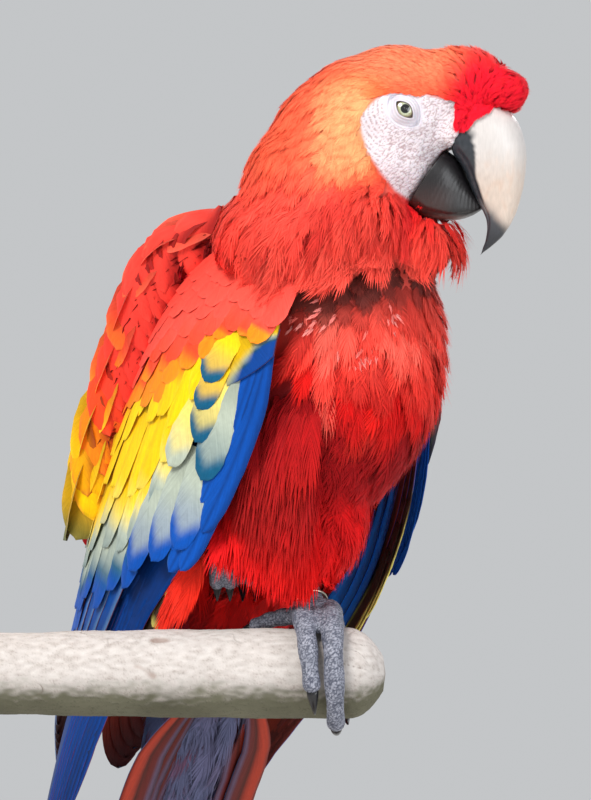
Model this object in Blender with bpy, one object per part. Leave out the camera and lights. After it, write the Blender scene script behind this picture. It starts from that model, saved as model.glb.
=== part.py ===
"""Scarlet macaw gripping a cut length of branch, as a still, life-size museum model.

Metres, +Z up. The origin is the centre of the display stand's underside. The branch runs
along X. The bird stands on its left foot with the right foot drawn up, its body turned
from -Y towards +X and its head turned further, almost to +X.

Three sets of axes place everything:
- body axes (right, front, up the spine), with the origin in the middle of the chest;
- head axes (forward, left, up), with the origin in the middle of the head;
- the branch's own axis, which the toes wrap round.
"""

from math import cos, pi, radians, sin

import bmesh
import bpy
from mathutils import Matrix, Vector

GAP = 0.0003  # clearance between pieces that touch

# Stand and branch
BASE_SIZE = (0.34, 0.30, 0.018)
BASE_CORNER = 0.05
ROD_X = -0.146
ROD_RADIUS = 0.005
BRANCH_Z = 0.500
BRANCH_Y = -0.031
BRANCH_RADIUS = 0.0205
BRANCH_X = (-0.163, 0.046)
FERRULE_X = (-0.166, -0.136)
FERRULE_WALL = 0.0022

# Body axes
BODY_HEADING = radians(40)  # from -Y towards +X
SPINE_TILT = radians(28)  # leaning forward from the vertical
CHEST = Vector((0.012, -0.009, 0.6215))

# Down the spine: distance below the chest centre, half width, depth to front, depth to back
TRUNK = (
    (-0.082, 0.030, 0.030, 0.040),
    (-0.058, 0.045, 0.050, 0.056),
    (-0.023, 0.0500, 0.064, 0.067),
    (0.008, 0.0490, 0.0620, 0.073),
    (0.034, 0.0435, 0.0500, 0.074),
    (0.070, 0.0375, 0.0370, 0.070),
    (0.100, 0.034, 0.027, 0.060),
    (0.130, 0.033, 0.021, 0.046),
    (0.160, 0.026, 0.018, 0.032),
    (0.175, 0.018, 0.012, 0.024),
)
# Share of that half width kept on the left, by distance down
LEFT_FLANK = ((-0.023, 1.0), (0.008, 0.97), (0.034, 0.78), (0.070, 0.76), (0.130, 0.90))

# The folded wings lie on an oval round the body: distance down, half width, half depth
WING_OVAL = (
    (-0.070, 0.050, 0.060),
    (-0.020, 0.064, 0.085),
    (0.030, 0.065, 0.092),
    (0.090, 0.064, 0.090),
    (0.150, 0.060, 0.081),
    (0.220, 0.052, 0.067),
    (0.300, 0.040, 0.050),
    (0.345, 0.036, 0.042),
)
# Angles on that oval, from the side (0) towards the back (90 degrees)
LEADING_EDGE = {
    "r": ((-0.07, -15), (-0.018, -25), (0.05, -22), (0.10, -17), (0.155, -9), (0.345, 22)),
    "l": (
        (-0.07, 2), (-0.015, -15), (0.030, -24), (0.070, -27), (0.110, -21), (0.155, -9),
        (0.20, 5), (0.345, 24),
    ),
}
TRAILING_EDGE = ((-0.07, 50), (-0.03, 80), (0.05, 84), (0.15, 80), (0.23, 72))
PRIMARIES_EDGE = ((-0.04, 10), (0.05, 16), (0.12, 24), (0.20, 40), (0.27, 44), (0.345, 30))
# Across a wing, from leading (0) to trailing edge (1): where each tract of feathers ends
WING_TOP = ((0.0, -0.056), (0.25, -0.064), (0.6, -0.060), (1.0, -0.040))
COVERTS_END = ((0.0, -0.030), (0.35, 0.030), (0.7, 0.120), (1.0, 0.145))
SECONDARIES_END = ((0.0, 0.150), (0.4, 0.190), (1.0, 0.226))
COVERT_THICKNESS = ((-0.07, 0.0035), (-0.03, 0.0045), (0.06, 0.0035), (0.16, 0.0025))
QUILL_THICKNESS = ((-0.03, 0.0030), (0.16, 0.0028), (0.345, 0.0012))
# How far inside the oval each tract lies, under the tracts that cover it
SECONDARIES_INSET = ((-0.03, 0.0050), (0.12, 0.0046), (0.20, 0.0010))
PRIMARIES_INSET = ((-0.03, 0.0085), (0.12, 0.0082), (0.20, 0.0048), (0.26, 0.0010))
FEATHER_SCALLOP = 0.005  # how far each feather's tip stands out of a tract's edge

# Scapular feathers, a loose shield over the back edge of each wing
SCAPULAR_ANGLES = (44, 86)
SCAPULAR_LENGTH = (-0.066, 0.118)
SCAPULAR_RISE = ((-0.066, 0.012), (-0.045, 0.024), (0.0, 0.016), (0.06, 0.010), (0.118, 0.005))

TAIL_ROOT = 0.150  # distance down the spine
TAIL_LENGTH = 0.455
TAIL_PAIRS = 6
TAIL_FEATHER_WIDTH = 0.024
TAIL_THICKNESS = 0.0011

# Head axes
HEAD_HEADING = radians(82)
HEAD = Vector((0.055, -0.045, 0.741))
# Lobes of the head and neck in head axes: forward, up, then half length, half width, half height
HEAD_LOBES = {
    "skull": (-0.0045, 0.0070, 0.0300, 0.0255, 0.0315),
    "brow": (0.0215, 0.0180, 0.0270, 0.0190, 0.0185),
    "forehead": (0.0420, 0.0160, 0.0130, 0.0145, 0.0110),
    "cheek": (-0.0070, -0.0140, 0.0225, 0.0240, 0.0230),
    "jaw": (0.0050, -0.0205, 0.0150, 0.0150, 0.0150),
    "hindcrown": (-0.0210, 0.0090, 0.0260, 0.0280, 0.0250),
    "nape": (-0.0310, -0.0060, 0.0310, 0.0290, 0.0330),
    "upper_neck": (-0.0400, -0.0250, 0.0350, 0.0350, 0.0330),
    "throat": (0.0090, -0.0500, 0.0140, 0.0175, 0.0170),
    "ruff": (-0.0290, -0.0410, 0.0360, 0.0390, 0.0250),
    "shoulder_ruff": (-0.0480, -0.0500, 0.0400, 0.0400, 0.0300),
}
EYE_FORWARD, EYE_UP, EYE_SIDE = 0.0022, 0.0072, 0.0190
EYE_RADIUS = 0.0075

# Bill: ridge point (forward, up), edge point (forward, up) and half width from base to tip
UPPER_BILL = (
    (0.0340, 0.0150, 0.0165, -0.0070, 0.0150),
    (0.0430, 0.0110, 0.0226, -0.0120, 0.0158),
    (0.0500, 0.0040, 0.0254, -0.0160, 0.0150),
    (0.0537, -0.0060, 0.0278, -0.0205, 0.0134),
    (0.0543, -0.0160, 0.0300, -0.0262, 0.0112),
    (0.0525, -0.0280, 0.0326, -0.0322, 0.0082),
    (0.0490, -0.0390, 0.0362, -0.0392, 0.0052),
    (0.0432, -0.0480, 0.0366, -0.0465, 0.0028),
    (0.0348, -0.0550, 0.0338, -0.0556, 0.0006),
)
LOWER_BILL = (
    (0.0195, -0.0095, 0.0030, -0.0340, 0.0170),
    (0.0235, -0.0125, 0.0090, -0.0388, 0.0160),
    (0.0262, -0.0170, 0.0165, -0.0403, 0.0138),
    (0.0285, -0.0220, 0.0240, -0.0400, 0.0108),
    (0.0312, -0.0275, 0.0300, -0.0382, 0.0074),
    (0.0345, -0.0325, 0.0352, -0.0352, 0.0030),
)
BILL_BOX = {"upper": (2.3, 4.0), "lower": (2.6, 4.0)}  # how square the upper and lower halves are

# Legs
FOOT_X = 0.0158
TOE_RADIUS = 0.0056
# Toe: sideways start and shift, first and last angle round the branch (90 is its top, 180 its front)
TOES = {
    "inner": (-0.0066, 0.0050, 84, 190, 0.98),
    "middle": (0.0066, 0.0025, 84, 234, 1.00),
    "hind": (-0.0080, -0.0190, 86, 54, 0.80),
    "outer": (0.0070, 0.0060, 78, -34, 0.95),
}
CLAW_LENGTH = 0.0130
CLAW_RADIUS = 0.0032
BAND_RADIUS = 0.0070
BAND_WIRE = 0.0008

COLOURS = {
    "red_plumage": ((0.75, 0.03, 0.02), 0.75, 0.0),
    "wing_plumage": ((0.80, 0.45, 0.02), 0.65, 0.0),
    "blue_plumage": ((0.02, 0.12, 0.55), 0.55, 0.0),
    "tail_plumage": ((0.50, 0.05, 0.02), 0.60, 0.0),
    "bill_horn": ((0.85, 0.78, 0.70), 0.35, 0.0),
    "dark_horn": ((0.05, 0.05, 0.06), 0.35, 0.0),
    "eye": ((0.75, 0.75, 0.45), 0.10, 0.0),
    "foot_skin": ((0.35, 0.36, 0.40), 0.70, 0.0),
    "steel": ((0.60, 0.60, 0.60), 0.30, 1.0),
    "bark": ((0.72, 0.68, 0.62), 0.90, 0.0),
    "stand_wood": ((0.10, 0.07, 0.05), 0.45, 0.0),
}


# ---------------------------------------------------------------- helpers


def clear_scene():
    for obj in list(bpy.data.objects):
        bpy.data.objects.remove(obj)


def make_material(name):
    colour, roughness, metallic = COLOURS[name]
    made = bpy.data.materials.new(name)
    made.use_nodes = True
    shader = made.node_tree.nodes["Principled BSDF"]
    shader.inputs["Base Color"].default_value = (*colour, 1.0)
    shader.inputs["Roughness"].default_value = roughness
    shader.inputs["Metallic"].default_value = metallic
    return made


def table_at(stations, x):
    """The values of a table at x, on a smooth curve through its rows."""
    if x <= stations[0][0]:
        return stations[0][1:]
    if x >= stations[-1][0]:
        return stations[-1][1:]
    k = max(i for i, row in enumerate(stations) if row[0] <= x)
    p, q = stations[k], stations[k + 1]
    before = stations[max(k - 1, 0)]
    after = stations[min(k + 2, len(stations) - 1)]
    span = q[0] - p[0]
    t = (x - p[0]) / span
    found = []
    for a, b, c, d in zip(before[1:], p[1:], q[1:], after[1:], strict=True):
        slope_p = (c - a) / (q[0] - before[0]) * span
        slope_q = (d - b) / (after[0] - p[0]) * span
        found.append(
            (2 * t**3 - 3 * t**2 + 1) * b
            + (t**3 - 2 * t**2 + t) * slope_p
            + (3 * t**2 - 2 * t**3) * c
            + (t**3 - t**2) * slope_q
        )
    return found


def steps(start, end, count):
    return [start + (end - start) * i / (count - 1) for i in range(count)]


def axes(origin, x, y, z):
    made = Matrix.Identity(4)
    for column, vector in enumerate((x, y, z, origin)):
        for row in range(3):
            made[row][column] = vector[row]
    return made


def heading(angle):
    return Vector((sin(angle), -cos(angle), 0.0))


def body_axes():
    up = Vector((0, 0, 1))
    forward = heading(BODY_HEADING)
    spine = up * cos(SPINE_TILT) + forward * sin(SPINE_TILT)
    front = forward * cos(SPINE_TILT) - up * sin(SPINE_TILT)
    return axes(CHEST, forward.cross(up), front, spine)


def head_axes():
    up = Vector((0, 0, 1))
    forward = heading(HEAD_HEADING)
    return axes(HEAD, forward, up.cross(forward), up)


BODY_TO_WORLD = body_axes()
HEAD_TO_WORLD = head_axes()


def finish(name, bm, material, smooth=60):
    """Puts a closed bmesh into the scene as one object."""
    bmesh.ops.recalc_face_normals(bm, faces=bm.faces)
    mesh = bpy.data.meshes.new(name)
    bm.to_mesh(mesh)
    bm.free()
    mesh.shade_smooth()
    mesh.set_sharp_from_angle(angle=radians(smooth))
    obj = bpy.data.objects.new(name, mesh)
    bpy.context.scene.collection.objects.link(obj)
    if material:
        mesh.materials.append(MATERIALS[material])
    return obj


def loft(name, rings, material=None, smooth=60):
    """A closed solid through rings of equal length, with its two ends capped."""
    bm = bmesh.new()
    loops = [[bm.verts.new(p) for p in ring] for ring in rings]
    for a, b in zip(loops, loops[1:]):
        for i in range(len(a)):
            j = (i + 1) % len(a)
            bm.faces.new((a[i], a[j], b[j], b[i]))
    for end in (loops[0], loops[-1]):
        cap = bm.faces.new(end)
        bmesh.ops.triangulate(bm, faces=[cap])
    return finish(name, bm, material, smooth)


def tube(name, centres, radii, material=None, sides=8, flat=1.0):
    """A round bar along a line of points, each ring square to the line."""
    rings = []
    for i, (centre, radius) in enumerate(zip(centres, radii, strict=True)):
        along = (centres[min(i + 1, len(centres) - 1)] - centres[max(i - 1, 0)]).normalized()
        side = along.cross(Vector((0, 0.31, 0.95))).normalized()
        other = along.cross(side)
        turns = [2 * pi * k / sides for k in range(sides)]
        rings.append([centre + (side * cos(a) + other * sin(a) * flat) * radius for a in turns])
    return loft(name, rings, material)


def ellipsoid(name, to_world, centre, radii, segments=20, rings=12):
    bm = bmesh.new()
    place = to_world @ Matrix.Translation(centre) @ Matrix.Diagonal((*radii, 1.0))
    bmesh.ops.create_uvsphere(bm, u_segments=segments, v_segments=rings, radius=1.0, matrix=place)
    return finish(name, bm, None)


def evaluated(obj):
    """The object's mesh with its modifiers applied."""
    bpy.context.view_layer.update()
    graph = bpy.context.evaluated_depsgraph_get()
    return bpy.data.meshes.new_from_object(obj.evaluated_get(graph))


def settle(obj):
    """Replaces the object's mesh by its evaluated one, and drops the modifiers."""
    mesh = evaluated(obj)
    obj.modifiers.clear()
    obj.data = mesh
    return obj


def boolean(obj, other, operation):
    modifier = obj.modifiers.new(operation.lower(), "BOOLEAN")
    modifier.operation = operation
    modifier.object = other
    modifier.solver = "EXACT"
    modifier.use_self = True
    modifier.use_hole_tolerant = True
    return settle(obj)


def drop(obj):
    bpy.data.objects.remove(obj)


def union(name, pieces, material=None):
    whole = pieces[0]
    for piece in pieces[1:]:
        boolean(whole, piece, "UNION")
        drop(piece)
    keep_largest(whole)
    whole.name = name
    if material:
        whole.data.materials.clear()
        whole.data.materials.append(MATERIALS[material])
    return whole


def keep_largest(obj):
    """Removes crumbs that a cut leaves beside the body, and pockets left inside it."""
    bm = bmesh.new()
    bm.from_mesh(obj.data)
    bmesh.ops.remove_doubles(bm, verts=bm.verts, dist=1e-6)
    left = set(bm.verts)
    groups = []
    while left:
        group, todo = set(), [left.pop()]
        while todo:
            vert = todo.pop()
            group.add(vert)
            for edge in vert.link_edges:
                other = edge.other_vert(vert)
                if other in left:
                    left.remove(other)
                    todo.append(other)
        groups.append(group)
    largest = max(groups, key=len)
    crumbs = [v for v in bm.verts if v not in largest]
    bmesh.ops.delete(bm, geom=crumbs, context="VERTS")
    bm.to_mesh(obj.data)
    bm.free()


def grown(obj, by=GAP):
    """A copy pushed out along its normals, to cut a neighbour with clearance."""
    bm = bmesh.new()
    bm.from_mesh(obj.data)
    bmesh.ops.recalc_face_normals(bm, faces=bm.faces)
    bm.normal_update()
    moved = [v.co + v.normal * by for v in bm.verts]
    for vert, place in zip(bm.verts, moved, strict=True):
        vert.co = place
    return finish(obj.name + "_cutter", bm, None)


def carve(obj, *others, gap=GAP):
    """Cuts room for the others out of obj."""
    for other in others:
        cutter = grown(other, gap)
        boolean(obj, cutter, "DIFFERENCE")
        drop(cutter)
    keep_largest(obj)


def paint(obj, material, smooth=50):
    obj.data.materials.clear()
    obj.data.materials.append(MATERIALS[material])
    obj.data.shade_smooth()
    obj.data.set_sharp_from_angle(angle=radians(smooth))


# ---------------------------------------------------------------- head, neck and trunk


def trunk_loft():
    rings = []
    for down in steps(TRUNK[0][0], TRUNK[-1][0], 22):
        width, front, back = table_at(TRUNK, down)
        (drawn_in,) = table_at(LEFT_FLANK, down)
        ring = []
        for k in range(24):
            a = 2 * pi * k / 24
            depth = front if sin(a) > 0 else back
            side = width if cos(a) > 0 else width * drawn_in
            ring.append(BODY_TO_WORLD @ Vector((side * cos(a), depth * sin(a), -down)))
        rings.append(ring)
    return loft("trunk_shape", rings)


def flesh_whole():
    """Trunk, neck and head as one smooth body."""
    lobes = [
        ellipsoid(name, HEAD_TO_WORLD, (forward, 0, up), radii)
        for name, (forward, up, *radii) in HEAD_LOBES.items()
    ]
    body = union("flesh", [trunk_loft(), *lobes])
    remesh = body.modifiers.new("remesh", "REMESH")
    remesh.mode = "VOXEL"
    remesh.voxel_size = 0.0026
    smooth = body.modifiers.new("smooth", "SMOOTH")
    smooth.factor = 0.6
    smooth.iterations = 5
    fewer = body.modifiers.new("fewer", "DECIMATE")
    fewer.ratio = 0.0260
    return settle(body)


def welded(name, pieces, material, voxel, faces):
    """Pieces that run into one another, made into one even skin."""
    bm = bmesh.new()
    for piece in pieces:
        bm.from_mesh(piece.data)
        drop(piece)
    body = finish(name, bm, None)
    remesh = body.modifiers.new("remesh", "REMESH")
    remesh.mode = "VOXEL"
    remesh.voxel_size = voxel
    settle(body)
    keep_largest(body)
    fewer = body.modifiers.new("fewer", "DECIMATE")
    fewer.ratio = faces / (2 * len(body.data.polygons))
    settle(body)
    paint(body, material)
    return body


def half(whole, name, point, normal, material):
    """The part of a body on the side of a plane that normal points to, capped."""
    bm = bmesh.new()
    bm.from_mesh(whole.data)
    geometry = bm.verts[:] + bm.edges[:] + bm.faces[:]
    place = point + normal.normalized() * GAP / 2
    bmesh.ops.bisect_plane(
        bm, geom=geometry, plane_co=place, plane_no=normal, clear_inner=True, dist=1e-7
    )
    bmesh.ops.holes_fill(bm, edges=[e for e in bm.edges if e.is_boundary], sides=0)
    bmesh.ops.triangulate(bm, faces=[f for f in bm.faces if len(f.verts) > 4])
    return finish(name, bm, material, 50)


def split_flesh(whole):
    """Parts the body at the throat and at the foot of the neck."""
    head_cut = HEAD_TO_WORLD @ Vector((-0.026, 0, -0.028))
    head_normal = HEAD_TO_WORLD.to_3x3() @ Vector((0.42, 0, 0.90))
    neck_cut = HEAD_TO_WORLD @ Vector((-0.030, 0, -0.064))
    neck_normal = HEAD_TO_WORLD.to_3x3() @ Vector((0.28, 0, 0.96))
    head = half(whole, "head", head_cut, head_normal, "red_plumage")
    below = half(whole, "below", head_cut, -head_normal, None)
    neck = half(below, "neck", neck_cut, neck_normal, "red_plumage")
    trunk = half(below, "trunk", neck_cut, -neck_normal, "red_plumage")
    tail_cut = BODY_TO_WORLD @ Vector((0, 0, -TAIL_ROOT))
    spine_up = BODY_TO_WORLD.to_3x3() @ Vector((0, 0, 1))
    shortened = half(trunk, "shortened", tail_cut, spine_up, "red_plumage")
    for spent in (below, whole, trunk):
        drop(spent)
    shortened.name = "trunk"
    return head, neck, shortened


# ---------------------------------------------------------------- bill and eyes


def bill_part(name, stations, material, box, count, sides=14):
    """A horny sheath through ridge-to-edge sections, boxy at the sides and narrowing to its tip."""
    rings = []
    rows = [(i / (len(stations) - 1), *row) for i, row in enumerate(stations)]
    for t in steps(0.0, 1.0, count):
        ridge_x, ridge_z, edge_x, edge_z, width = table_at(rows, t)
        ridge, edge = Vector((ridge_x, 0, ridge_z)), Vector((edge_x, 0, edge_z))
        middle, half_height = (ridge + edge) / 2, (ridge - edge) / 2
        ring = []
        for k in range(sides):
            a = 2 * pi * k / sides
            square = box[0] if sin(a) > 0 else box[1]
            across = abs(cos(a)) ** (2 / square) * (1 if cos(a) > 0 else -1) * width
            tall = abs(sin(a)) ** (2 / square) * (1 if sin(a) > 0 else -1)
            ring.append(HEAD_TO_WORLD @ (middle + half_height * tall + Vector((0, across, 0))))
        rings.append(ring)
    return loft(name, rings, material)


def make_bill():
    lower = bill_part("bill_lower", LOWER_BILL, "dark_horn", BILL_BOX["lower"], 8)
    upper = bill_part("bill_upper", UPPER_BILL, "bill_horn", BILL_BOX["upper"], 12)
    carve(lower, upper)
    paint(lower, "dark_horn")
    return upper, lower


def make_eyes():
    made = []
    for side, name in ((-1, "eye_r"), (1, "eye_l")):
        centre = (EYE_FORWARD, side * EYE_SIDE, EYE_UP)
        eye = ellipsoid(name, HEAD_TO_WORLD, centre, (EYE_RADIUS,) * 3, 12, 7)
        paint(eye, "eye")
        made.append(eye)
    return made


# ---------------------------------------------------------------- wings


def wing_point(down, angle, inset, side):
    """A point on the oval of the right or left wing, or just inside it, in the world."""
    across_sign = 1 if side == "r" else -1
    width, depth = table_at(WING_OVAL, down)
    across = (width - inset) * cos(radians(angle))
    back = (depth - inset) * sin(radians(angle))
    return BODY_TO_WORLD @ Vector((across_sign * across, -back, -down))


def tract(name, side, surface, material, along, across):
    """A closed shell. surface(u, v) gives distance down, angle, and the outer and inner insets."""
    rings = []
    for u in steps(0.0, 1.0, along):
        outer, inner = [], []
        for v in steps(0.0, 1.0, across):
            down, angle, top, bottom = surface(u, v, side)
            outer.append(wing_point(down, angle, top, side))
            inner.append(wing_point(down, angle, bottom, side))
        rings.append(outer + inner[::-1])
    return loft(name, rings, material, 40)


def scallop(v, feathers):
    return FEATHER_SCALLOP * abs(sin(pi * feathers * v))


def covert_surface(u, v, side):
    start = table_at(WING_TOP, v)[0]
    end = table_at(COVERTS_END, v)[0] + scallop(v, 5)
    down = start + (end - start) * u
    first, last = table_at(LEADING_EDGE[side], down)[0], table_at(TRAILING_EDGE, down)[0]
    return down, first + (last - first) * v, 0.0, table_at(COVERT_THICKNESS, down)[0]


def secondary_surface(u, v, side):
    start = 0.020 + 0.070 * v
    end = table_at(SECONDARIES_END, v)[0] + scallop(v, 5)
    down = start + (end - start) * u
    first = table_at(PRIMARIES_EDGE, down)[0] - 8
    last = table_at(TRAILING_EDGE, down)[0]
    top = table_at(SECONDARIES_INSET, down)[0]
    return down, first + (last - first) * v, top, top + table_at(QUILL_THICKNESS, down)[0]


def primary_surface(u, v, side):
    start = -0.045 + 0.060 * v
    end = 0.345 - 0.030 * v + scallop(v, 2)
    down = start + (end - start) * u
    first, last = table_at(LEADING_EDGE[side], down)[0], table_at(PRIMARIES_EDGE, down)[0]
    top = table_at(PRIMARIES_INSET, down)[0]
    return down, first + (last - first) * v, top, top + table_at(QUILL_THICKNESS, down)[0]


def scapular_surface(u, v, side):
    first, last = SCAPULAR_ANGLES
    start, end = SCAPULAR_LENGTH
    down = start + (end + scallop(v, 2) - start) * u
    rise = table_at(SCAPULAR_RISE, down)[0] * (1 - 0.65 * v)
    return down, first + (last - first) * v, -0.0040 - rise, -0.0022


def make_wings():
    made = []
    for side in ("r", "l"):
        made += [
            tract(f"wing_{side}_coverts", side, covert_surface, "wing_plumage", 8, 11),
            tract(f"wing_{side}_secondaries", side, secondary_surface, "blue_plumage", 7, 9),
            tract(f"wing_{side}_primaries", side, primary_surface, "blue_plumage", 12, 5),
            tract(f"scapulars_{side}", side, scapular_surface, "red_plumage", 8, 5),
        ]
    return made


# ---------------------------------------------------------------- tail


def tail_feather(rank, side):
    """A quill of the tail: rank 0 is the longest, on top in the middle."""
    length = TAIL_LENGTH * (1 - 0.135 * rank)
    shift = side * (0.005 + 0.0054 * rank)
    depth = 0.002 + 0.0020 * rank + side * 0.0007
    rings = []
    for t in (0.0, 0.2, 0.8, 0.94, 1.0):
        wide = TAIL_FEATHER_WIDTH / 2 * (1 - 0.35 * t) * (1 - max(0.0, (t - 0.86) / 0.14) ** 2 * 0.8)
        thick = TAIL_THICKNESS / 2 * (1.3 - 0.5 * t)
        open_out = 0.35 + 0.65 * min(1.0, t / 0.2)
        down = TAIL_ROOT + 0.020 + (length - 0.020) * t
        middle = Vector((shift * open_out, depth * (1 - 0.3 * t), -down))
        edges = ((-1, -0.3), (-0.45, 1), (0.45, 1), (1, -0.3), (0, -1))
        ring = [middle + Vector((wide * x, thick * y, 0)) for x, y in edges]
        rings.append([BODY_TO_WORLD @ p for p in ring])
    return loft("tail_feather", rings)


def make_tail():
    root = [
        BODY_TO_WORLD @ Vector((0, -0.003, -TAIL_ROOT - 2 * GAP)),
        BODY_TO_WORLD @ Vector((0, -0.003, -TAIL_ROOT - 0.012)),
        BODY_TO_WORLD @ Vector((0, 0.002, -TAIL_ROOT - 0.045)),
        BODY_TO_WORLD @ Vector((0, 0.005, -TAIL_ROOT - 0.120)),
    ]
    coverts = tube("tail_coverts", root, [0.027, 0.027, 0.025, 0.010], None, 10, 0.85)
    feathers = [tail_feather(rank, side) for rank in range(TAIL_PAIRS) for side in (-1, 1)]
    return union("tail", [coverts, *feathers], "tail_plumage")


# ---------------------------------------------------------------- legs


def round_branch(x, angle, radius):
    a = radians(angle)
    return Vector((x, BRANCH_Y + radius * cos(a), BRANCH_Z + radius * sin(a)))


def toe_line(start, shift, first, last, size, count):
    radius = BRANCH_RADIUS + TOE_RADIUS * size + 2 * GAP
    return [
        round_branch(FOOT_X + start + shift * t, first + (last - first) * t, radius)
        for t in steps(0.0, 1.0, count)
    ]


def toe(name, start, shift, first, last, size):
    """One toe and its claw, wrapped round the branch."""
    count = 8
    line = toe_line(start, shift, first, last, size, count)
    ends = steps(0.0, 1.0, count)
    radii = [TOE_RADIUS * size * (1 - 0.28 * t + 0.05 * cos(6 * pi * t)) for t in ends]
    toe_body = tube(name, line, radii, None, 9)
    along = (line[-1] - line[-2]).normalized()
    inward = (round_branch(line[-1].x, last, 0.0) - line[-1]).normalized()
    claw_start = line[-1] + along * 4 * GAP
    bend = [(t, CLAW_LENGTH * t) for t in (0.0, 0.35, 0.7, 1.0)]
    claw_line = [claw_start + along * s + inward * 0.55 * s * t for t, s in bend]
    claw_radii = [CLAW_RADIUS * size * (1 - t) + 0.0004 for t, _ in bend]
    return toe_body, tube(f"claw_l_{name}", claw_line, claw_radii, "dark_horn", 7)


def standing_foot():
    toes, claws = [], []
    for name, spec in TOES.items():
        body, claw = toe(name, *spec)
        toes.append(body)
        claws.append(claw)
    top = BRANCH_Z + BRANCH_RADIUS + TOE_RADIUS
    ball = Vector((FOOT_X, BRANCH_Y + 0.001, top + 0.0015))
    palm = ellipsoid("palm", Matrix.Translation(ball), (0, 0, 0), (0.0125, 0.0085, 0.0062), 12, 8)
    ankle = ball + Vector((-0.005, 0.019, 0.016))
    shank = tube("shank", [ball, ball.lerp(ankle, 0.5), ankle], [0.0056, 0.0048, 0.0056], None, 9)
    foot = welded("foot_l", [palm, shank, *toes], "foot_skin", 0.0008, 760)
    return foot, claws, ball, ankle


def drawn_up_foot():
    """The right foot, closed and held against the belly."""
    ball = Vector((-0.0195, -0.0185, 0.5530))
    ankle = ball + Vector((-0.002, 0.026, 0.020))
    shank = tube("shank", [ball, ball.lerp(ankle, 0.5), ankle], [0.0062, 0.0048, 0.0056], None, 9)
    toes, claws = [], []
    for k, name in enumerate(("inner", "middle", "hind", "outer")):
        across = -0.0085 + 0.0057 * k
        back = name in ("hind", "outer")
        curl = 1 if back else -1
        line = []
        for t in steps(0.0, 1.0, 5):
            a = radians(60 - 112 * t)
            line.append(ball + Vector((across, curl * 0.009 * cos(a) * 0.9 + 0.002, 0.009 * sin(a) - 0.006)))
        radii = [0.0044 - 0.0010 * t for t in steps(0.0, 1.0, 5)]
        toes.append(tube(name, line, radii, None, 8))
        along = (line[-1] - line[-2]).normalized()
        start = line[-1] + along * 4 * GAP
        claw_line = [start + along * 0.009 * t - Vector((0, 0.004, 0)) * t * t for t in (0, 0.4, 0.75, 1)]
        claw_radii = [0.0024 * (1 - t) + 0.0004 for t in (0, 0.4, 0.75, 1)]
        claws.append(tube(f"claw_r_{name}", claw_line, claw_radii, "dark_horn", 7))
    foot = welded("foot_r", [shank, *toes], "foot_skin", 0.0007, 340)
    outward = ball - ankle
    line = [ball + outward * t for t in (0.95, 0.55, -0.1, -0.7, -1.25)]
    pocket = tube("pocket", line, (0.019, 0.0210, 0.0185, 0.011, 0.0085), None, 10)
    return foot, claws, pocket


def make_band(ball, ankle):
    """An open-wire leg band hanging loose on the shank, against the foot."""
    along = (ankle - ball).normalized()
    centre = ball + along * 0.0080 - Vector((0, 0, 0.0012))
    tilt = along.to_track_quat("Z", "Y").to_matrix()
    bm = bmesh.new()
    turns, sides = 16, 5
    loops = []
    for i in range(turns):
        a = 2 * pi * i / turns
        out = tilt @ Vector((cos(a), sin(a), 0))
        loop = []
        for k in range(sides):
            b = 2 * pi * k / sides
            wire = out * (BAND_RADIUS + BAND_WIRE * cos(b)) + along * BAND_WIRE * sin(b)
            loop.append(bm.verts.new(centre + wire))
        loops.append(loop)
    for i in range(turns):
        for k in range(sides):
            a, b = loops[i], loops[(i + 1) % turns]
            bm.faces.new((a[k], a[(k + 1) % sides], b[(k + 1) % sides], b[k]))
    return finish("leg_band", bm, "steel")


def thigh(name, top, bottom, widths, lean):
    """A feathered thigh, an egg-shaped lobe hanging from the belly."""
    rings = []
    for t in steps(0.0, 1.0, 7):
        centre = top.lerp(bottom, t)
        swell = sin(pi * (0.10 + 0.82 * t)) ** 0.6
        ring = []
        for k in range(12):
            a = 2 * pi * k / 12 + lean
            ring.append(centre + Vector((widths[0] * swell * cos(a), widths[1] * swell * sin(a), 0)))
        rings.append(ring)
    return loft(name, rings, "red_plumage")


def make_thighs():
    left_hip, left_knee = Vector((0.018, -0.011, 0.606)), Vector((0.0085, -0.020, 0.5340))
    right_hip, right_knee = Vector((-0.006, 0.006, 0.606)), Vector((-0.022, 0.002, 0.5440))
    left = thigh("thigh_l", left_hip, left_knee, (0.0300, 0.0270), 0)
    right = thigh("thigh_r", right_hip, right_knee, (0.0250, 0.0260), 0.2)
    return left, right


# ---------------------------------------------------------------- branch and stand


def make_branch():
    """A rough limb, a little thicker towards its rounded, knobbly free end."""
    first, last = BRANCH_X
    rings = []
    end_steps = [last - 0.0125, last - 0.0085, last - 0.0045, last - 0.0015, last]
    for x in steps(first, last - 0.017, 11) + end_steps:
        to_end = last - x
        swell = BRANCH_RADIUS * (1 - 0.35 * (FOOT_X - x) / 0.20 * 0.4)
        if x > FOOT_X + 0.012:
            swell = BRANCH_RADIUS * (1 - 0.62 * max(0.0, 1 - to_end / 0.017) ** 2.4)
        ring = []
        for k in range(14):
            a = 2 * pi * k / 14
            knob = 1 - 0.018 * (1 + sin(3 * a + 60 * x) * cos(95 * x + a))
            ring.append(Vector((x, BRANCH_Y + swell * knob * cos(a), BRANCH_Z + swell * knob * sin(a))))
        rings.append(ring)
    return loft("branch", rings, "bark")


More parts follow.
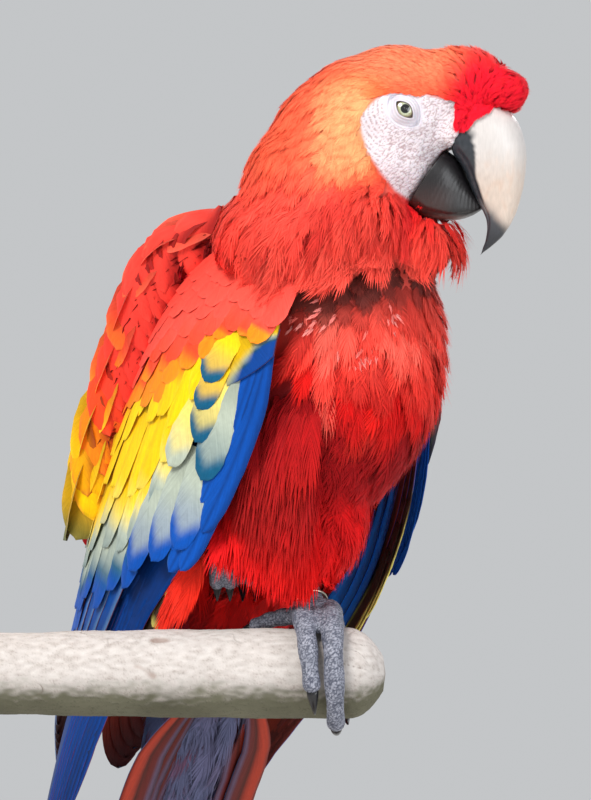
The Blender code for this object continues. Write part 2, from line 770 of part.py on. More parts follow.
def rounded_plate(name, size, corner, material):
    wide, deep, thick = size
    bm = bmesh.new()
    outline = []
    for k, (sx, sy) in enumerate(((1, 1), (-1, 1), (-1, -1), (1, -1))):
        for step in range(6):
            a = pi / 2 * (k + step / 5)
            x = sx * (wide / 2 - corner) + corner * cos(a)
            y = sy * (deep / 2 - corner) + corner * sin(a)
            outline.append(bm.verts.new((x, y, 0)))
    face = bm.faces.new(outline)
    lifted = bmesh.ops.extrude_face_region(bm, geom=[face])
    top = [v for v in lifted["geom"] if isinstance(v, bmesh.types.BMVert)]
    bmesh.ops.translate(bm, verts=top, vec=(0, 0, thick))
    rim = [e for e in bm.edges if all(abs(v.co.z - thick) < 1e-6 for v in e.verts)]
    bmesh.ops.bevel(bm, geom=rim, offset=0.003, segments=2, affect="EDGES", profile=0.5)
    return finish(name, bm, material, 30)


def make_stand():
    rounded_plate("stand_base", BASE_SIZE, BASE_CORNER, "stand_wood")
    foot, top = BASE_SIZE[2] + GAP, BRANCH_Z - BRANCH_RADIUS - FERRULE_WALL - 2 * GAP
    rod = [Vector((ROD_X, BRANCH_Y, z)) for z in (foot, (foot + top) / 2, top)]
    tube("stand_rod", rod, [ROD_RADIUS] * 3, "steel", 16)
    collar_top = foot + 0.012
    bm = bmesh.new()
    rings = ((0.016, foot), (0.016, foot + 0.004), (0.010, collar_top), (ROD_RADIUS + GAP, collar_top))
    profile = [bm.verts.new((r, 0, z)) for r, z in (*rings, (ROD_RADIUS + GAP, foot))]
    edges = [bm.edges.new((profile[i], profile[(i + 1) % 5])) for i in range(5)]
    bmesh.ops.spin(bm, geom=profile + edges, axis=(0, 0, 1), cent=(0, 0, 0), steps=14, angle=2 * pi)
    bmesh.ops.remove_doubles(bm, verts=bm.verts, dist=1e-5)
    collar = finish("stand_collar", bm, "steel", 30)
    collar.location = (ROD_X, BRANCH_Y, 0)
    first, last = FERRULE_X
    outer, inner = BRANCH_RADIUS + FERRULE_WALL, BRANCH_RADIUS + GAP
    cup = BRANCH_X[0] - GAP
    profile = ((first, 0.0005), (first, outer), (last, outer), (last, inner), (cup, inner), (cup, 0.0005))
    rings = []
    for x, radius in profile:
        turns = [2 * pi * k / 16 for k in range(16)]
        rings.append([Vector((x, BRANCH_Y + radius * cos(a), BRANCH_Z + radius * sin(a))) for a in turns])
    loft("stand_ferrule", rings, "steel", 30)


# ---------------------------------------------------------------- the whole model

clear_scene()
MATERIALS = {name: make_material(name) for name in COLOURS}

bill_upper, bill_lower = make_bill()
eyes = make_eyes()
wings = make_wings()
foot_l, claws_l, foot_ball, foot_ankle = standing_foot()
foot_r, claws_r, pocket_r = drawn_up_foot()
band = make_band(foot_ball, foot_ankle)
thigh_l, thigh_r = make_thighs()
tail = make_tail()
head, neck, trunk = split_flesh(flesh_whole())

carve(head, bill_upper, bill_lower, *eyes)
carve(neck, bill_lower)
carve(trunk, thigh_l, thigh_r, foot_l, pocket_r, foot_r, *claws_r)
carve(thigh_r, thigh_l, pocket_r, foot_r, *claws_r)
carve(thigh_l, foot_l, pocket_r, foot_r, *claws_r)
carve(thigh_l, band, gap=0.0008)
carve(foot_l, band)
paint(foot_l, "foot_skin")
drop(pocket_r)
carve(neck, *wings)
carve(trunk, *wings)
paint(tail, "tail_plumage")
for flesh in (head, neck, trunk, thigh_l, thigh_r):
    paint(flesh, "red_plumage")

make_branch()
make_stand()
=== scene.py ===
"""The looks of the scarlet macaw display model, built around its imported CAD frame.

Metres, +Z up, in the frame's own coordinates. Three sets of axes place everything:
- body axes (right, front, up the spine), with the origin in the middle of the chest;
- head axes (forward, left, up), with the origin in the middle of the head;
- the branch's own axis, along X, which the toes wrap round.

The flesh nodes become one skin. Feathers are meshes of two kinds. A contour feather is a
small vane with loose barbs round it, laid on the skin. A vane feather is a whole blade,
laid on the oval of the folded wing, on the shoulders or on the tail.
"""

from functools import cache
from math import cos, pi, radians, sin
from types import SimpleNamespace

import bmesh
import bpy
import numpy as np
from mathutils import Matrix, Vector, noise
from mathutils.bvhtree import BVHTree
from mathutils.kdtree import KDTree


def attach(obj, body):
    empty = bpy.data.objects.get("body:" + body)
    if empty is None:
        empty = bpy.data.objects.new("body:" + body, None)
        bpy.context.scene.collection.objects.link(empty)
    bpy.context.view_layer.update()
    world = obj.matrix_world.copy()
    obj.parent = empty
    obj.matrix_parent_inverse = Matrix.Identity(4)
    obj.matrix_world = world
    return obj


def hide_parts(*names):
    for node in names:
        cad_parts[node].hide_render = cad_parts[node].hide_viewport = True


# ---------------------------------------------------------------- sizes of the CAD frame

BRANCH_Z = 0.500
BRANCH_Y = -0.031
BRANCH_RADIUS = 0.0205
BRANCH_X = (-0.163, 0.046)
GAP = 0.0003  # the toes clear the branch by twice this

BODY_HEADING = radians(40)  # from -Y towards +X
SPINE_TILT = radians(28)  # leaning forward from the vertical
CHEST = np.array((0.012, -0.009, 0.6215))
HEAD_HEADING = radians(82)
HEAD = np.array((0.055, -0.045, 0.741))

# The folded wings lie on an oval round the body: distance down, half width, half depth
WING_OVAL = (
    (-0.070, 0.050, 0.060),
    (-0.020, 0.064, 0.085),
    (0.030, 0.065, 0.092),
    (0.090, 0.064, 0.090),
    (0.150, 0.060, 0.081),
    (0.220, 0.052, 0.067),
    (0.300, 0.040, 0.050),
    (0.345, 0.036, 0.042),
)
# Angles on that oval by distance down, from the side (0) towards the back (90 degrees)
LEADING_EDGE = {
    "r": ((-0.07, -15), (-0.018, -25), (0.05, -22), (0.10, -17), (0.155, -9), (0.345, 22)),
    "l": (
        (-0.07, 12), (-0.025, 0), (0.000, -12), (0.030, -22), (0.070, -26), (0.110, -21), (0.155, -9),
        (0.20, 5), (0.345, 24),
    ),
}
TRAILING_EDGE = ((-0.07, 50), (-0.03, 80), (0.05, 84), (0.15, 80), (0.23, 72))
PRIMARIES_DRAWN_IN = ((-0.04, 0), (0.03, 1), (0.07, 6), (0.10, 11), (0.16, 9), (0.345, 3))
PRIMARIES_EDGE = ((-0.04, 10), (0.05, 16), (0.12, 24), (0.20, 40), (0.27, 44), (0.345, 30))
# Distances down of the wing's top edge and of its feather groups' ends, from front (0) to back (1)
WING_TOP = ((0.0, -0.056), (0.25, -0.064), (0.6, -0.060), (1.0, -0.040))
COVERTS_END = ((0.0, -0.030), (0.35, 0.030), (0.7, 0.120), (1.0, 0.145))
SECONDARIES_END = ((0.0, 0.150), (0.4, 0.190), (1.0, 0.226))
# How deep under the oval the coverts' lining and the quills lie, by distance down
COVERT_THICKNESS = ((-0.07, 0.0035), (-0.03, 0.0045), (0.06, 0.0035), (0.16, 0.0025))
SECONDARIES_INSET = ((-0.03, 0.0050), (0.12, 0.0046), (0.20, 0.0010))
PRIMARIES_INSET = ((-0.03, 0.0085), (0.12, 0.0082), (0.20, 0.0048), (0.26, 0.0010))
# The shoulder's shield of feathers: angles round the wing, distances down, and height by distance
SCAPULAR_ANGLES = (44, 86)
SCAPULAR_LENGTH = (-0.066, 0.118)
LOBE_FRONT = 0.26  # share of the shoulder's shield that faces forward
SCAPULAR_RISE = ((-0.066, 0.012), (-0.045, 0.022), (0.0, 0.017), (0.06, 0.014), (0.118, 0.009))
PRIMARIES, SECONDARIES = 10, 11
WING_CLOSE = 0.016  # no coat grows where a wing lies this close over the skin
SIGN = {"r": 1.0, "l": -1.0}  # which way is out from the body on each side
TAIL_ROOT = 0.150
TAIL_LENGTH = 0.455
TAIL_PAIRS = 6
TAIL_FEATHER_WIDTH = 0.018
# Where the blue begins down a tail feather, as a share, by its rank from the middle pair
TAIL_BLUE = ((0, 1, 2, 3, 5), (0.86, 0.78, 0.55, 0.35, 0.12))
# The flesh at the tail's root: places in body axes, and radius
TAIL_STUMP = (
    (0, -0.004, -0.125, 0.027), (0, -0.003, -0.17, 0.0235), (0, 0.003, -0.215, 0.0185),
    (0, 0.006, -0.27, 0.009),
)

EYE_FORWARD, EYE_UP, EYE_SIDE = 0.0022, 0.0072, 0.0190
EYE_RADIUS = 0.0075
SOCKET_RADIUS = 0.0068
# Bill: ridge point (forward, up), edge point (forward, up) and half width from base to tip
UPPER_BILL = (
    (0.0352, 0.0138, 0.0212, -0.0078, 0.0150),
    (0.0430, 0.0110, 0.0226, -0.0120, 0.0158),
    (0.0500, 0.0040, 0.0254, -0.0160, 0.0150),
    (0.0537, -0.0060, 0.0278, -0.0205, 0.0134),
    (0.0543, -0.0160, 0.0300, -0.0262, 0.0112),
    (0.0525, -0.0280, 0.0326, -0.0322, 0.0082),
    (0.0490, -0.0390, 0.0362, -0.0392, 0.0052),
    (0.0432, -0.0480, 0.0366, -0.0465, 0.0028),
    (0.0348, -0.0550, 0.0338, -0.0556, 0.0006),
)
# The skin over the base of the upper bill, in the same measures
CERE = (
    (0.0270, 0.0120, 0.0130, -0.0060, 0.0150),
    (0.0310, 0.0135, 0.0180, -0.0085, 0.0166),
    (0.0345, 0.0142, 0.0226, -0.0100, 0.0170),
)
LOWER_BILL = (
    (0.0195, -0.0095, 0.0030, -0.0340, 0.0170),
    (0.0235, -0.0125, 0.0090, -0.0388, 0.0160),
    (0.0262, -0.0170, 0.0165, -0.0403, 0.0138),
    (0.0285, -0.0220, 0.0240, -0.0400, 0.0108),
    (0.0312, -0.0275, 0.0300, -0.0382, 0.0074),
    (0.0345, -0.0325, 0.0352, -0.0352, 0.0030),
)
BILL_BOX = {"upper": (2.3, 4.0), "lower": (2.6, 4.0)}  # how square the upper and lower halves are
# Where the slate of the upper bill gives way to ivory: (up, forward)
SLATE_EDGE = (
    (-0.0440, 0.0355), (-0.0381, 0.0366), (-0.0338, 0.0364), (-0.0272, 0.0348), (-0.0212, 0.0332),
    (-0.0140, 0.0332), (-0.0086, 0.0330), (-0.0040, 0.0316), (-0.0015, 0.0302), (0.0005, 0.0200),
)
# The dark tip of the upper bill begins at a line: a point on it, and its direction (forward, up)
TIP_LINE = ((0.0343, -0.0295), (0.747, 0.665))
PUPIL_EDGE = (16.2, 17.6)  # degrees off the eye's axis
FOOT_X = 0.0158
TOE_RADIUS = 0.0056
# Toe: sideways start and shift, first and last angle round the branch, size
TOES = {
    "inner": (-0.0066, 0.0050, 84, 190, 0.98),
    "middle": (0.0066, 0.0025, 84, 234, 1.00),
    "hind": (-0.0080, -0.0190, 86, 54, 0.80),
    "outer": (0.0070, 0.0060, 78, -34, 0.95),
}

# ---------------------------------------------------------------- sizes of the looks

FLESH = ("head", "neck", "trunk", "thigh_l", "thigh_r")
SKIN_VOXEL = 0.0019
FOOT_VOXEL = 0.00055
SCALES_PER_METRE = 780
TUBE_CAPS = (0.97, 0.80, 0.45)  # a tube's end rings, as shares of its radius
# Bare face, in head axes: (forward, up) round its edge, from the crown side forward and down
FACE_EDGE = (
    (-0.0056, 0.0153), (0.0009, 0.0162), (0.0137, 0.0141), (0.0230, 0.0122), (0.0282, 0.0095),
    (0.0295, 0.0030), (0.0300, -0.0030), (0.0285, -0.0124), (0.0230, -0.0193), (0.0150, -0.0282),
    (0.0060, -0.0335), (-0.0018, -0.0277), (-0.0080, -0.0198), (-0.0138, -0.0105), (-0.0162, -0.0015),
    (-0.0162, 0.0052), (-0.0099, 0.0118),
)
FACE_SIDE = 0.0085  # bare skin starts this far from the middle of the head
EYELID_LONG, EYELID_SHORT = 0.0046, 0.0027  # half sizes of the opening
EYELID_TILT = radians(-46)  # its front corner is the lower one
EYELID_POWER = 1.50  # 2 makes the opening an oval, and less makes its corners sharper
LID_ROLL = 0.0007  # the lid's edge stands this far out of the eyeball
WRINKLE_SLOPE = radians(22)  # the rows of the face's folds rise this much towards the bill
WRINKLE_CELL = (0.0030, 0.0011)  # one fold along a row and across it
BILL_BASE = np.array((0.0300, 0.0, 0.0100))  # in head axes: feathers lie away from here
FACE_REACH, HEAD_REACH = 0.050, 0.075  # how far from there the face's and the head's feathers go
NECK_BLEND = (-0.058, -0.036)  # heights in head axes between which the neck gives way to the body
WRINKLE_ARCS = (0.0035, 0.0080, 0.0019)  # centre (forward, up) and spacing of the arcs behind the eye

# By distance from the bill's base: feather length, half width as a share of it, tip lift, depth
# of the coat over the skin, and spacing as a share of the length
COAT_TABLE = (
    (0.008, 0.0042, 0.22, 0.0006, 0.0010, 0.28),
    (0.025, 0.0064, 0.20, 0.0005, 0.0007, 0.25),
    (0.045, 0.0098, 0.18, 0.0005, 0.0008, 0.21),
    (0.065, 0.0140, 0.19, 0.0010, 0.0020, 0.20),
    (0.090, 0.0195, 0.20, 0.0022, 0.0034, 0.20),
    (0.120, 0.0240, 0.22, 0.0032, 0.0040, 0.21),
    (0.200, 0.0250, 0.23, 0.0034, 0.0042, 0.21),
    (0.300, 0.0300, 0.22, 0.0030, 0.0035, 0.23),
)
# Belly feathers over the drawn-up foot, in the world: the height of their hem by X, the Y that
# they hang at, and by height the X that they start from
DRAPE_HEM = (
    (-0.045, 0.556), (-0.034, 0.5505), (-0.026, 0.5450), (-0.018, 0.5405), (-0.008, 0.5360),
    (0.009, 0.5295), (0.022, 0.5300), (0.032, 0.5360),
)
DRAPE_FRONT = -0.0385
DRAPE_SIDE = ((0.549, -0.030), (0.563, -0.027), (0.594, -0.018), (0.625, -0.011))
# The ruff ends along this line across the breast, in body axes: (right, up)
RUFF_LINE = (
    (-0.030, 0.086), (-0.009, 0.0865), (0.001, 0.0865), (0.018, 0.080), (0.032, 0.073),
    (0.041, 0.0655), (0.050, 0.060),
)
# Loose locks that hang from the ruff: (right, length)
RUFF_LOCKS = (
    (0.041, 0.024), (0.036, 0.022), (0.030, 0.031), (0.0275, 0.033), (0.022, 0.022), (0.015, 0.025),
    (0.010, 0.034), (0.0075, 0.032), (0.000, 0.022), (-0.005, 0.028), (-0.012, 0.025), (-0.020, 0.022),
)
# Where pale down shows between the breast feathers, in body axes: (right, up)
DOWN_SPOTS = (
    (0.0176, 0.0500), (0.0217, 0.0460), (0.0385, 0.0505), (0.0330, 0.0560), (-0.0135, 0.0990),
    (0.0060, 0.0640),
)
# Shapes of vanes: rows of points, raggedness of the edge, cup, where the tip's curve begins, width
# at the root as a share, and thickness, 0 for a single sheet
BLADES = {
    "covert": (13, 0.02, 0.16, 0.62, 0.5, 0.0),
    "front_covert": (16, 0.02, 0.16, 0.66, 0.5, 0.0),
    "edge_covert": (24, 0.01, 0.14, 0.80, 0.4, 0.0004),
    "inner": (24, 0.01, 0.10, 0.80, 0.5, 0.0005),
    "primary": (40, 0.008, 0.12, 0.86, 0.5, 0.0005),
    "secondary": (30, 0.008, 0.12, 0.80, 0.6, 0.0005),
    "scapular": (13, 0.015, 0.16, 0.58, 0.55, 0.0),
    "shoulder": (13, 0.02, 0.20, 0.58, 0.55, 0.0),
    "curled": (12, 0.05, 0.42, 0.6, 0.5, 0.0),
    "tail": (44, 0.01, 0.015, 0.88, 0.25, 0.0005),
}
BLADE_COLUMNS = 9  # points across a vane
PATH_STATIONS, COAT_STATIONS = 8, 6  # points along a vane feather's path, and a coat feather's
ROOTS_TRIED = 90000  # before those that stand too close are dropped
# The brow feathers' lower edge over the base of the bill: (forward, up)
BROW_HEM = ((0.0242, -0.0030), (0.0290, -0.0028), (0.0300, -0.0012), (0.0341, 0.0027), (0.0394, 0.0058))
# Boxes of the mouth, where no feathers grow, in head axes: start, half width, lowest and highest
MOUTH = (
    (0.022, 0.0152, -0.100, 0.004),
    (0.004, 0.0105, -0.036, 0.002),
    (0.0065, 0.0175, -0.038, -0.002),
)


def tone(red, green, blue):
    """A colour given as 0 to 255 on a screen, in linear light."""
    c = np.array((red, green, blue)) / 255.0
    return np.where(c <= 0.04045, c / 12.92, ((c + 0.055) / 1.055) ** 2.4)


SCARLET = tone(244, 18, 14)
CRIMSON = tone(214, 4, 18)
DEEP_CRIMSON = tone(150, 6, 14)
ORANGE_RED = tone(250, 70, 34)
FLAME = tone(255, 118, 52)
CROWN_HIGHLIGHT_PINK = tone(255, 132, 92)
ROSE = tone(252, 20, 50)
SALMON = tone(252, 92, 76)
PEACH = tone(255, 178, 120)
MAROON = tone(84, 12, 12)
ORANGE = tone(252, 148, 10)
YELLOW = tone(255, 204, 0)
LEMON = tone(246, 222, 110)
MUSTARD = tone(196, 140, 14)
PALE_GREEN = tone(178, 188, 172)
GREEN = tone(24, 92, 58)
TEAL = tone(12, 88, 124)
BLUE = tone(0, 78, 174)
DEEP_BLUE = tone(0, 32, 86)
SKY_BLUE = tone(60, 130, 200)
GREY_BLUE = tone(92, 96, 128)
FACE_WHITE = tone(222, 212, 217)
FACE_LILAC = tone(204, 192, 201)
FACE_CREASE_SHADE = tone(138, 98, 98)
LID_DARK = tone(66, 44, 40)
LID_PALE = tone(216, 211, 220)
LID_GREY = tone(172, 162, 178)
GAPE_SKIN = tone(176, 140, 138)
DOWN_GREY = tone(216, 204, 202)
LINING_BLUE = tone(44, 140, 255)
BREAST_HIGHLIGHT_PINK = tone(255, 122, 104)
RUFF_SHADOW_BROWN = tone(74, 36, 32)
IVORY, WARM_IVORY = tone(204, 198, 195), tone(206, 189, 176)
IVORY_STREAK, IVORY_STAIN = tone(206, 176, 156), tone(184, 168, 156)
SLATE_DARK, SLATE = tone(28, 32, 38), tone(52, 57, 64)
TIP_GREY, TIP_DARK = tone(74, 76, 82), tone(34, 36, 42)
BILL_BLACK, BILL_DARK = tone(12, 10, 12), tone(24, 20, 23)
BILL_BROWN_AND_REFLECTION, BILL_PALE = tone(58, 34, 31), tone(104, 90, 84)
PUPIL, IRIS_RIM = tone(8, 8, 10), tone(74, 56, 40)
IRIS_PALE, IRIS_OLIVE = tone(184, 190, 160), tone(146, 140, 100)
SCALE_SEAM, SCALE_GREY, SCALE_PALE = tone(66, 70, 86), tone(122, 125, 138), tone(166, 168, 182)
BARK_PALE, BARK_GREY, BARK_SPECKLE = tone(214, 208, 204), tone(180, 171, 166), tone(138, 126, 116)
BARK_OLIVE, BARK_MOSS, BARK_SHADE = tone(116, 114, 96), tone(84, 82, 66), tone(70, 68, 54)
BARK_CRACK, BARK_KNOT = tone(92, 72, 58), tone(132, 100, 84)
UNDER_BRICK, UNDER_WEB, UNDER_TIP = tone(158, 58, 42), tone(104, 42, 36), tone(78, 38, 38)
TAIL_BRICK, TAIL_WEB = tone(160, 54, 36), tone(92, 32, 28)
TAIL_RIM, TAIL_SHAFT = tone(66, 26, 26), tone(70, 30, 26)
INNER_BLACK, INNER_RIM = tone(58, 44, 34), tone(222, 210, 110)
LINING_BROWN = tone(96, 40, 30)
CLAW_BLACK, CLAW_GREY = tone(10, 10, 13), tone(36, 35, 39)
WOOD_DARK, WOOD_BROWN = tone(52, 30, 20), tone(112, 70, 44)
STAND_STEEL, BAND_STEEL = tone(150, 152, 156), tone(196, 186, 170)
FLOOR_GREY, FLOOR_PALE = tone(214, 212, 208), tone(226, 225, 222)


# ---------------------------------------------------------------- arithmetic


def unit(v):
    """Each vector at length 1."""
    return v / np.maximum(np.linalg.norm(v, axis=-1, keepdims=True), 1e-12)


def smooth(x, low, high):
    """0 below low, 1 above high, and a smooth rise between."""
    t = np.clip((np.asarray(x, float) - low) / (high - low), 0.0, 1.0)
    return t * t * (3 - 2 * t)


def mix(a, b, share):
    """From a to b by a share for each point."""
    share = np.asarray(share)[..., None]
    return a * (1 - share) + b * share


def table_at(rows, x):
    """The values of a table at each x, on a smooth curve through its rows."""
    rows = np.asarray(rows, float)
    knots, values = rows[:, 0], rows[:, 1:]
    x = np.clip(np.asarray(x, float), knots[0], knots[-1])
    k = np.clip(np.searchsorted(knots, x, side="right") - 1, 0, len(knots) - 2)
    before, after = np.maximum(k - 1, 0), np.minimum(k + 2, len(knots) - 1)
    span = (knots[k + 1] - knots[k])[..., None]
    t = (x - knots[k])[..., None] / span
    slope_p = (values[k + 1] - values[before]) / (knots[k + 1] - knots[before])[..., None] * span
    slope_q = (values[after] - values[k]) / (knots[after] - knots[k])[..., None] * span
    return (
        (2 * t**3 - 3 * t**2 + 1) * values[k]
        + (t**3 - 2 * t**2 + t) * slope_p
        + (3 * t**2 - 2 * t**3) * values[k + 1]
        + (t**3 - t**2) * slope_q
    )


def lookup(table, x):
    """The one value of a two-column table at each x."""
    return table_at(table, x)[..., 0]


def ramp(stops, x):
    """Colours at x along (place, colour) stops."""
    places = [place for place, _ in stops]
    colours = np.array([colour for _, colour in stops])
    return np.stack([np.interp(x, places, colours[:, c]) for c in range(3)], -1)


def body_axes():
    """Rows: right, front, up the spine."""
    up = np.array((0.0, 0.0, 1.0))
    forward = np.array((sin(BODY_HEADING), -cos(BODY_HEADING), 0.0))
    spine = up * cos(SPINE_TILT) + forward * sin(SPINE_TILT)
    front = forward * cos(SPINE_TILT) - up * sin(SPINE_TILT)
    return np.stack((np.cross(forward, up), front, spine))


def head_axes():
    """Rows: forward, left, up."""
    up = np.array((0.0, 0.0, 1.0))
    forward = np.array((sin(HEAD_HEADING), -cos(HEAD_HEADING), 0.0))
    return np.stack((forward, np.cross(up, forward), up))


BODY_AXES = body_axes()
HEAD_AXES = head_axes()


def body_to_world(points):
    return np.asarray(points) @ BODY_AXES + CHEST


def world_to_body(points):
    return (np.asarray(points) - CHEST) @ BODY_AXES.T


def head_to_world(points):
    return np.asarray(points) @ HEAD_AXES + HEAD


def world_to_head(points):
    return (np.asarray(points) - HEAD) @ HEAD_AXES.T


def outline_distance(points, outline):
    """How far each flat point is inside a closed outline; negative outside it."""
    a = np.asarray(outline, float)
    b = np.roll(a, -1, axis=0)
    p = points[:, None, :]
    edge = b - a
    t = np.clip(((p - a) * edge).sum(-1) / (edge**2).sum(-1), 0, 1)
    nearest = np.linalg.norm(p - (a + t[..., None] * edge), axis=-1).min(1)
    crosses = (a[:, 1] > p[..., 1]) != (b[:, 1] > p[..., 1])
    at = a[:, 0] + (p[..., 1] - a[:, 1]) / np.where(b[:, 1] == a[:, 1], 1e-12, b[:, 1] - a[:, 1]) * edge[:, 0]
    inside = (crosses & (p[..., 0] < at)).sum(1) % 2 == 1
    return np.where(inside, nearest, -nearest)


def face_depth(head_points):
    """How far inside the bare face each point is; negative where feathers grow."""
    flat = outline_distance(head_points[:, [0, 2]], FACE_EDGE)
    return np.minimum(flat, np.abs(head_points[:, 1]) - FACE_SIDE)


def rough(points, scale, seed=0.0):
    """Smooth noise from -1 to 1 at each point."""
    shift = Vector((seed * 17.3, seed * 5.1, seed * 9.7))
    return np.array([noise.noise(Vector(p) * scale + shift) for p in points])


# ---------------------------------------------------------------- meshes


def points_of(mesh):
    found = np.empty(len(mesh.vertices) * 3, np.float32)
    mesh.vertices.foreach_get("co", found)
    return found.reshape(-1, 3).astype(float)


def normals_of(mesh):
    found = np.empty(len(mesh.vertices) * 3, np.float32)
    mesh.vertex_normals.foreach_get("vector", found)
    return found.reshape(-1, 3).astype(float)


def move_points(mesh, points):
    mesh.vertices.foreach_set("co", np.ascontiguousarray(points, np.float32).ravel())
    mesh.update()


def new_object(name, mesh):
    made = bpy.data.objects.new(name, mesh)
    bpy.context.scene.collection.objects.link(made)
    return made


def mesh_from(name, points, quads, tris=()):
    """A mesh from arrays of points, four-cornered and three-cornered faces."""
    quads = np.asarray(quads, np.int32).reshape(-1, 4)
    tris = np.asarray(tris, np.int32).reshape(-1, 3)
    mesh = bpy.data.meshes.new(name)
    corners = np.concatenate((quads.ravel(), tris.ravel()))
    totals = np.concatenate((np.full(len(quads), 4), np.full(len(tris), 3))).astype(np.int32)
    starts = np.concatenate(((0,), np.cumsum(totals)[:-1])).astype(np.int32)
    mesh.vertices.add(len(points))
    mesh.loops.add(len(corners))
    mesh.polygons.add(len(totals))
    mesh.vertices.foreach_set("co", np.ascontiguousarray(points, np.float32).ravel())
    mesh.loops.foreach_set("vertex_index", corners)
    mesh.polygons.foreach_set("loop_start", starts)
    mesh.polygons.foreach_set("loop_total", totals)
    mesh.polygons.foreach_set("use_smooth", np.ones(len(totals), bool))
    mesh.update(calc_edges=True)
    return mesh


def set_tint(mesh, colours):
    held = mesh.attributes.new("tint", "FLOAT_COLOR", "POINT")
    rgba = np.concatenate((colours, np.ones((len(colours), 1))), 1)
    held.data.foreach_set("color", rgba.astype(np.float32).ravel())


def set_grain(mesh, grain):
    held = mesh.attributes.new("grain", "FLOAT_VECTOR", "POINT")
    held.data.foreach_set("vector", grain.astype(np.float32).ravel())


def graph():
    return bpy.context.evaluated_depsgraph_get()


def applied(obj):
    """The object with its modifiers made into its own new mesh."""
    mesh = bpy.data.meshes.new_from_object(obj.evaluated_get(graph()))
    obj.modifiers.clear()
    old = obj.data
    obj.data = mesh
    bpy.data.meshes.remove(old)
    return obj


def remeshed(obj, voxel):
    change = obj.modifiers.new("remesh", "REMESH")
    change.mode = "VOXEL"
    change.voxel_size = voxel
    change.use_smooth_shade = True
    return applied(obj)


def relaxed(obj, rounds):
    change = obj.modifiers.new("relax", "SMOOTH")
    change.iterations = rounds
    change.factor = 0.5
    return applied(obj)


def grid_quads(rows, columns, closed=False):
    """Quads over rows by columns of points; closed joins the last column to the first."""
    index = np.arange(rows * columns).reshape(rows, columns)
    right = np.roll(index, -1, axis=1)
    if not closed:
        index, right = index[:, :-1], right[:, :-1]
    return np.stack((index[:-1], right[:-1], right[1:], index[1:]), -1).reshape(-1, 4)


def end_fans(rings, sides):
    """Triangles that close a tube of rings at both ends, round two points that follow the rings."""
    k = np.arange(sides)
    after, last = (k + 1) % sides, (rings - 1) * sides
    first_middle = np.full(sides, rings * sides)
    return np.concatenate((
        np.stack((first_middle, after, k), -1),
        np.stack((first_middle + 1, last + k, last + after), -1),
    ))


def capped(name, rings):
    """A closed mesh through rings of points, with a fan over each end, and its points."""
    count, sides = rings.shape[:2]
    flat = np.concatenate((rings.reshape(-1, 3), rings[0].mean(0)[None], rings[-1].mean(0)[None]))
    return mesh_from(name, flat, grid_quads(count, sides, closed=True), end_fans(count, sides)), flat


def tube_mesh(name, centres, radii, sides=20, flat=1.0):
    """A closed tube through centres, rounded at both ends."""
    centres = np.asarray(centres, float)
    radii = np.asarray(radii, float)
    tangents = unit(np.gradient(centres, axis=0))
    aside = unit(np.cross(tangents, np.array((0.13, 0.27, 0.95))))
    over = np.cross(aside, tangents)
    angles = np.arange(sides) * 2 * pi / sides
    ring = np.cos(angles)[None, :, None] * aside[:, None]
    ring = ring + flat * np.sin(angles)[None, :, None] * over[:, None]

    def cap_ring(end, way, share):
        out = (1 - share**2) ** 0.5 * radii[end]
        return centres[end] + way * tangents[end] * out * 0.9 + ring[end] * radii[end] * share

    rings = [cap_ring(0, -1, share) for share in TUBE_CAPS[::-1]]
    rings += [centres[k] + ring[k] * radii[k] for k in range(len(centres))]
    rings += [cap_ring(-1, 1, share) for share in TUBE_CAPS]
    return capped(name, np.stack(rings))[0]


def edited(mesh, change, *sources):
    """The mesh filled from itself, or from the sources, after a change to its faces."""
    bm = bmesh.new()
    for source in sources or (mesh,):
        bm.from_mesh(source)
    change(bm)
    bm.to_mesh(mesh)
    bm.free()
    return mesh


def face_outward(bm):
    bmesh.ops.recalc_face_normals(bm, faces=bm.faces)


def merge_doubles(bm):
    bmesh.ops.remove_doubles(bm, verts=bm.verts, dist=1e-5)


def joined(name, meshes):
    """One object holding several meshes."""
    return new_object(name, edited(bpy.data.meshes.new(name), face_outward, *meshes))


def finish_piece(piece, material, slot, *replaced):
    """Gives a piece its material, in place of the CAD nodes that it replaces."""
    piece.data.materials.clear()
    piece.data.materials.append(material)
    if replaced:
        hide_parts(*replaced)
    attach(piece, "root")


# ---------------------------------------------------------------- markings of skin and coat


def reach_from_bill(points):
    """How far each point is from the base of the bill."""
    return np.linalg.norm(world_to_head(points) - BILL_BASE, axis=-1)


def headness(points):
    """1 on the head and neck, 0 on the body."""
    return smooth(world_to_head(points)[:, 2], *NECK_BLEND)


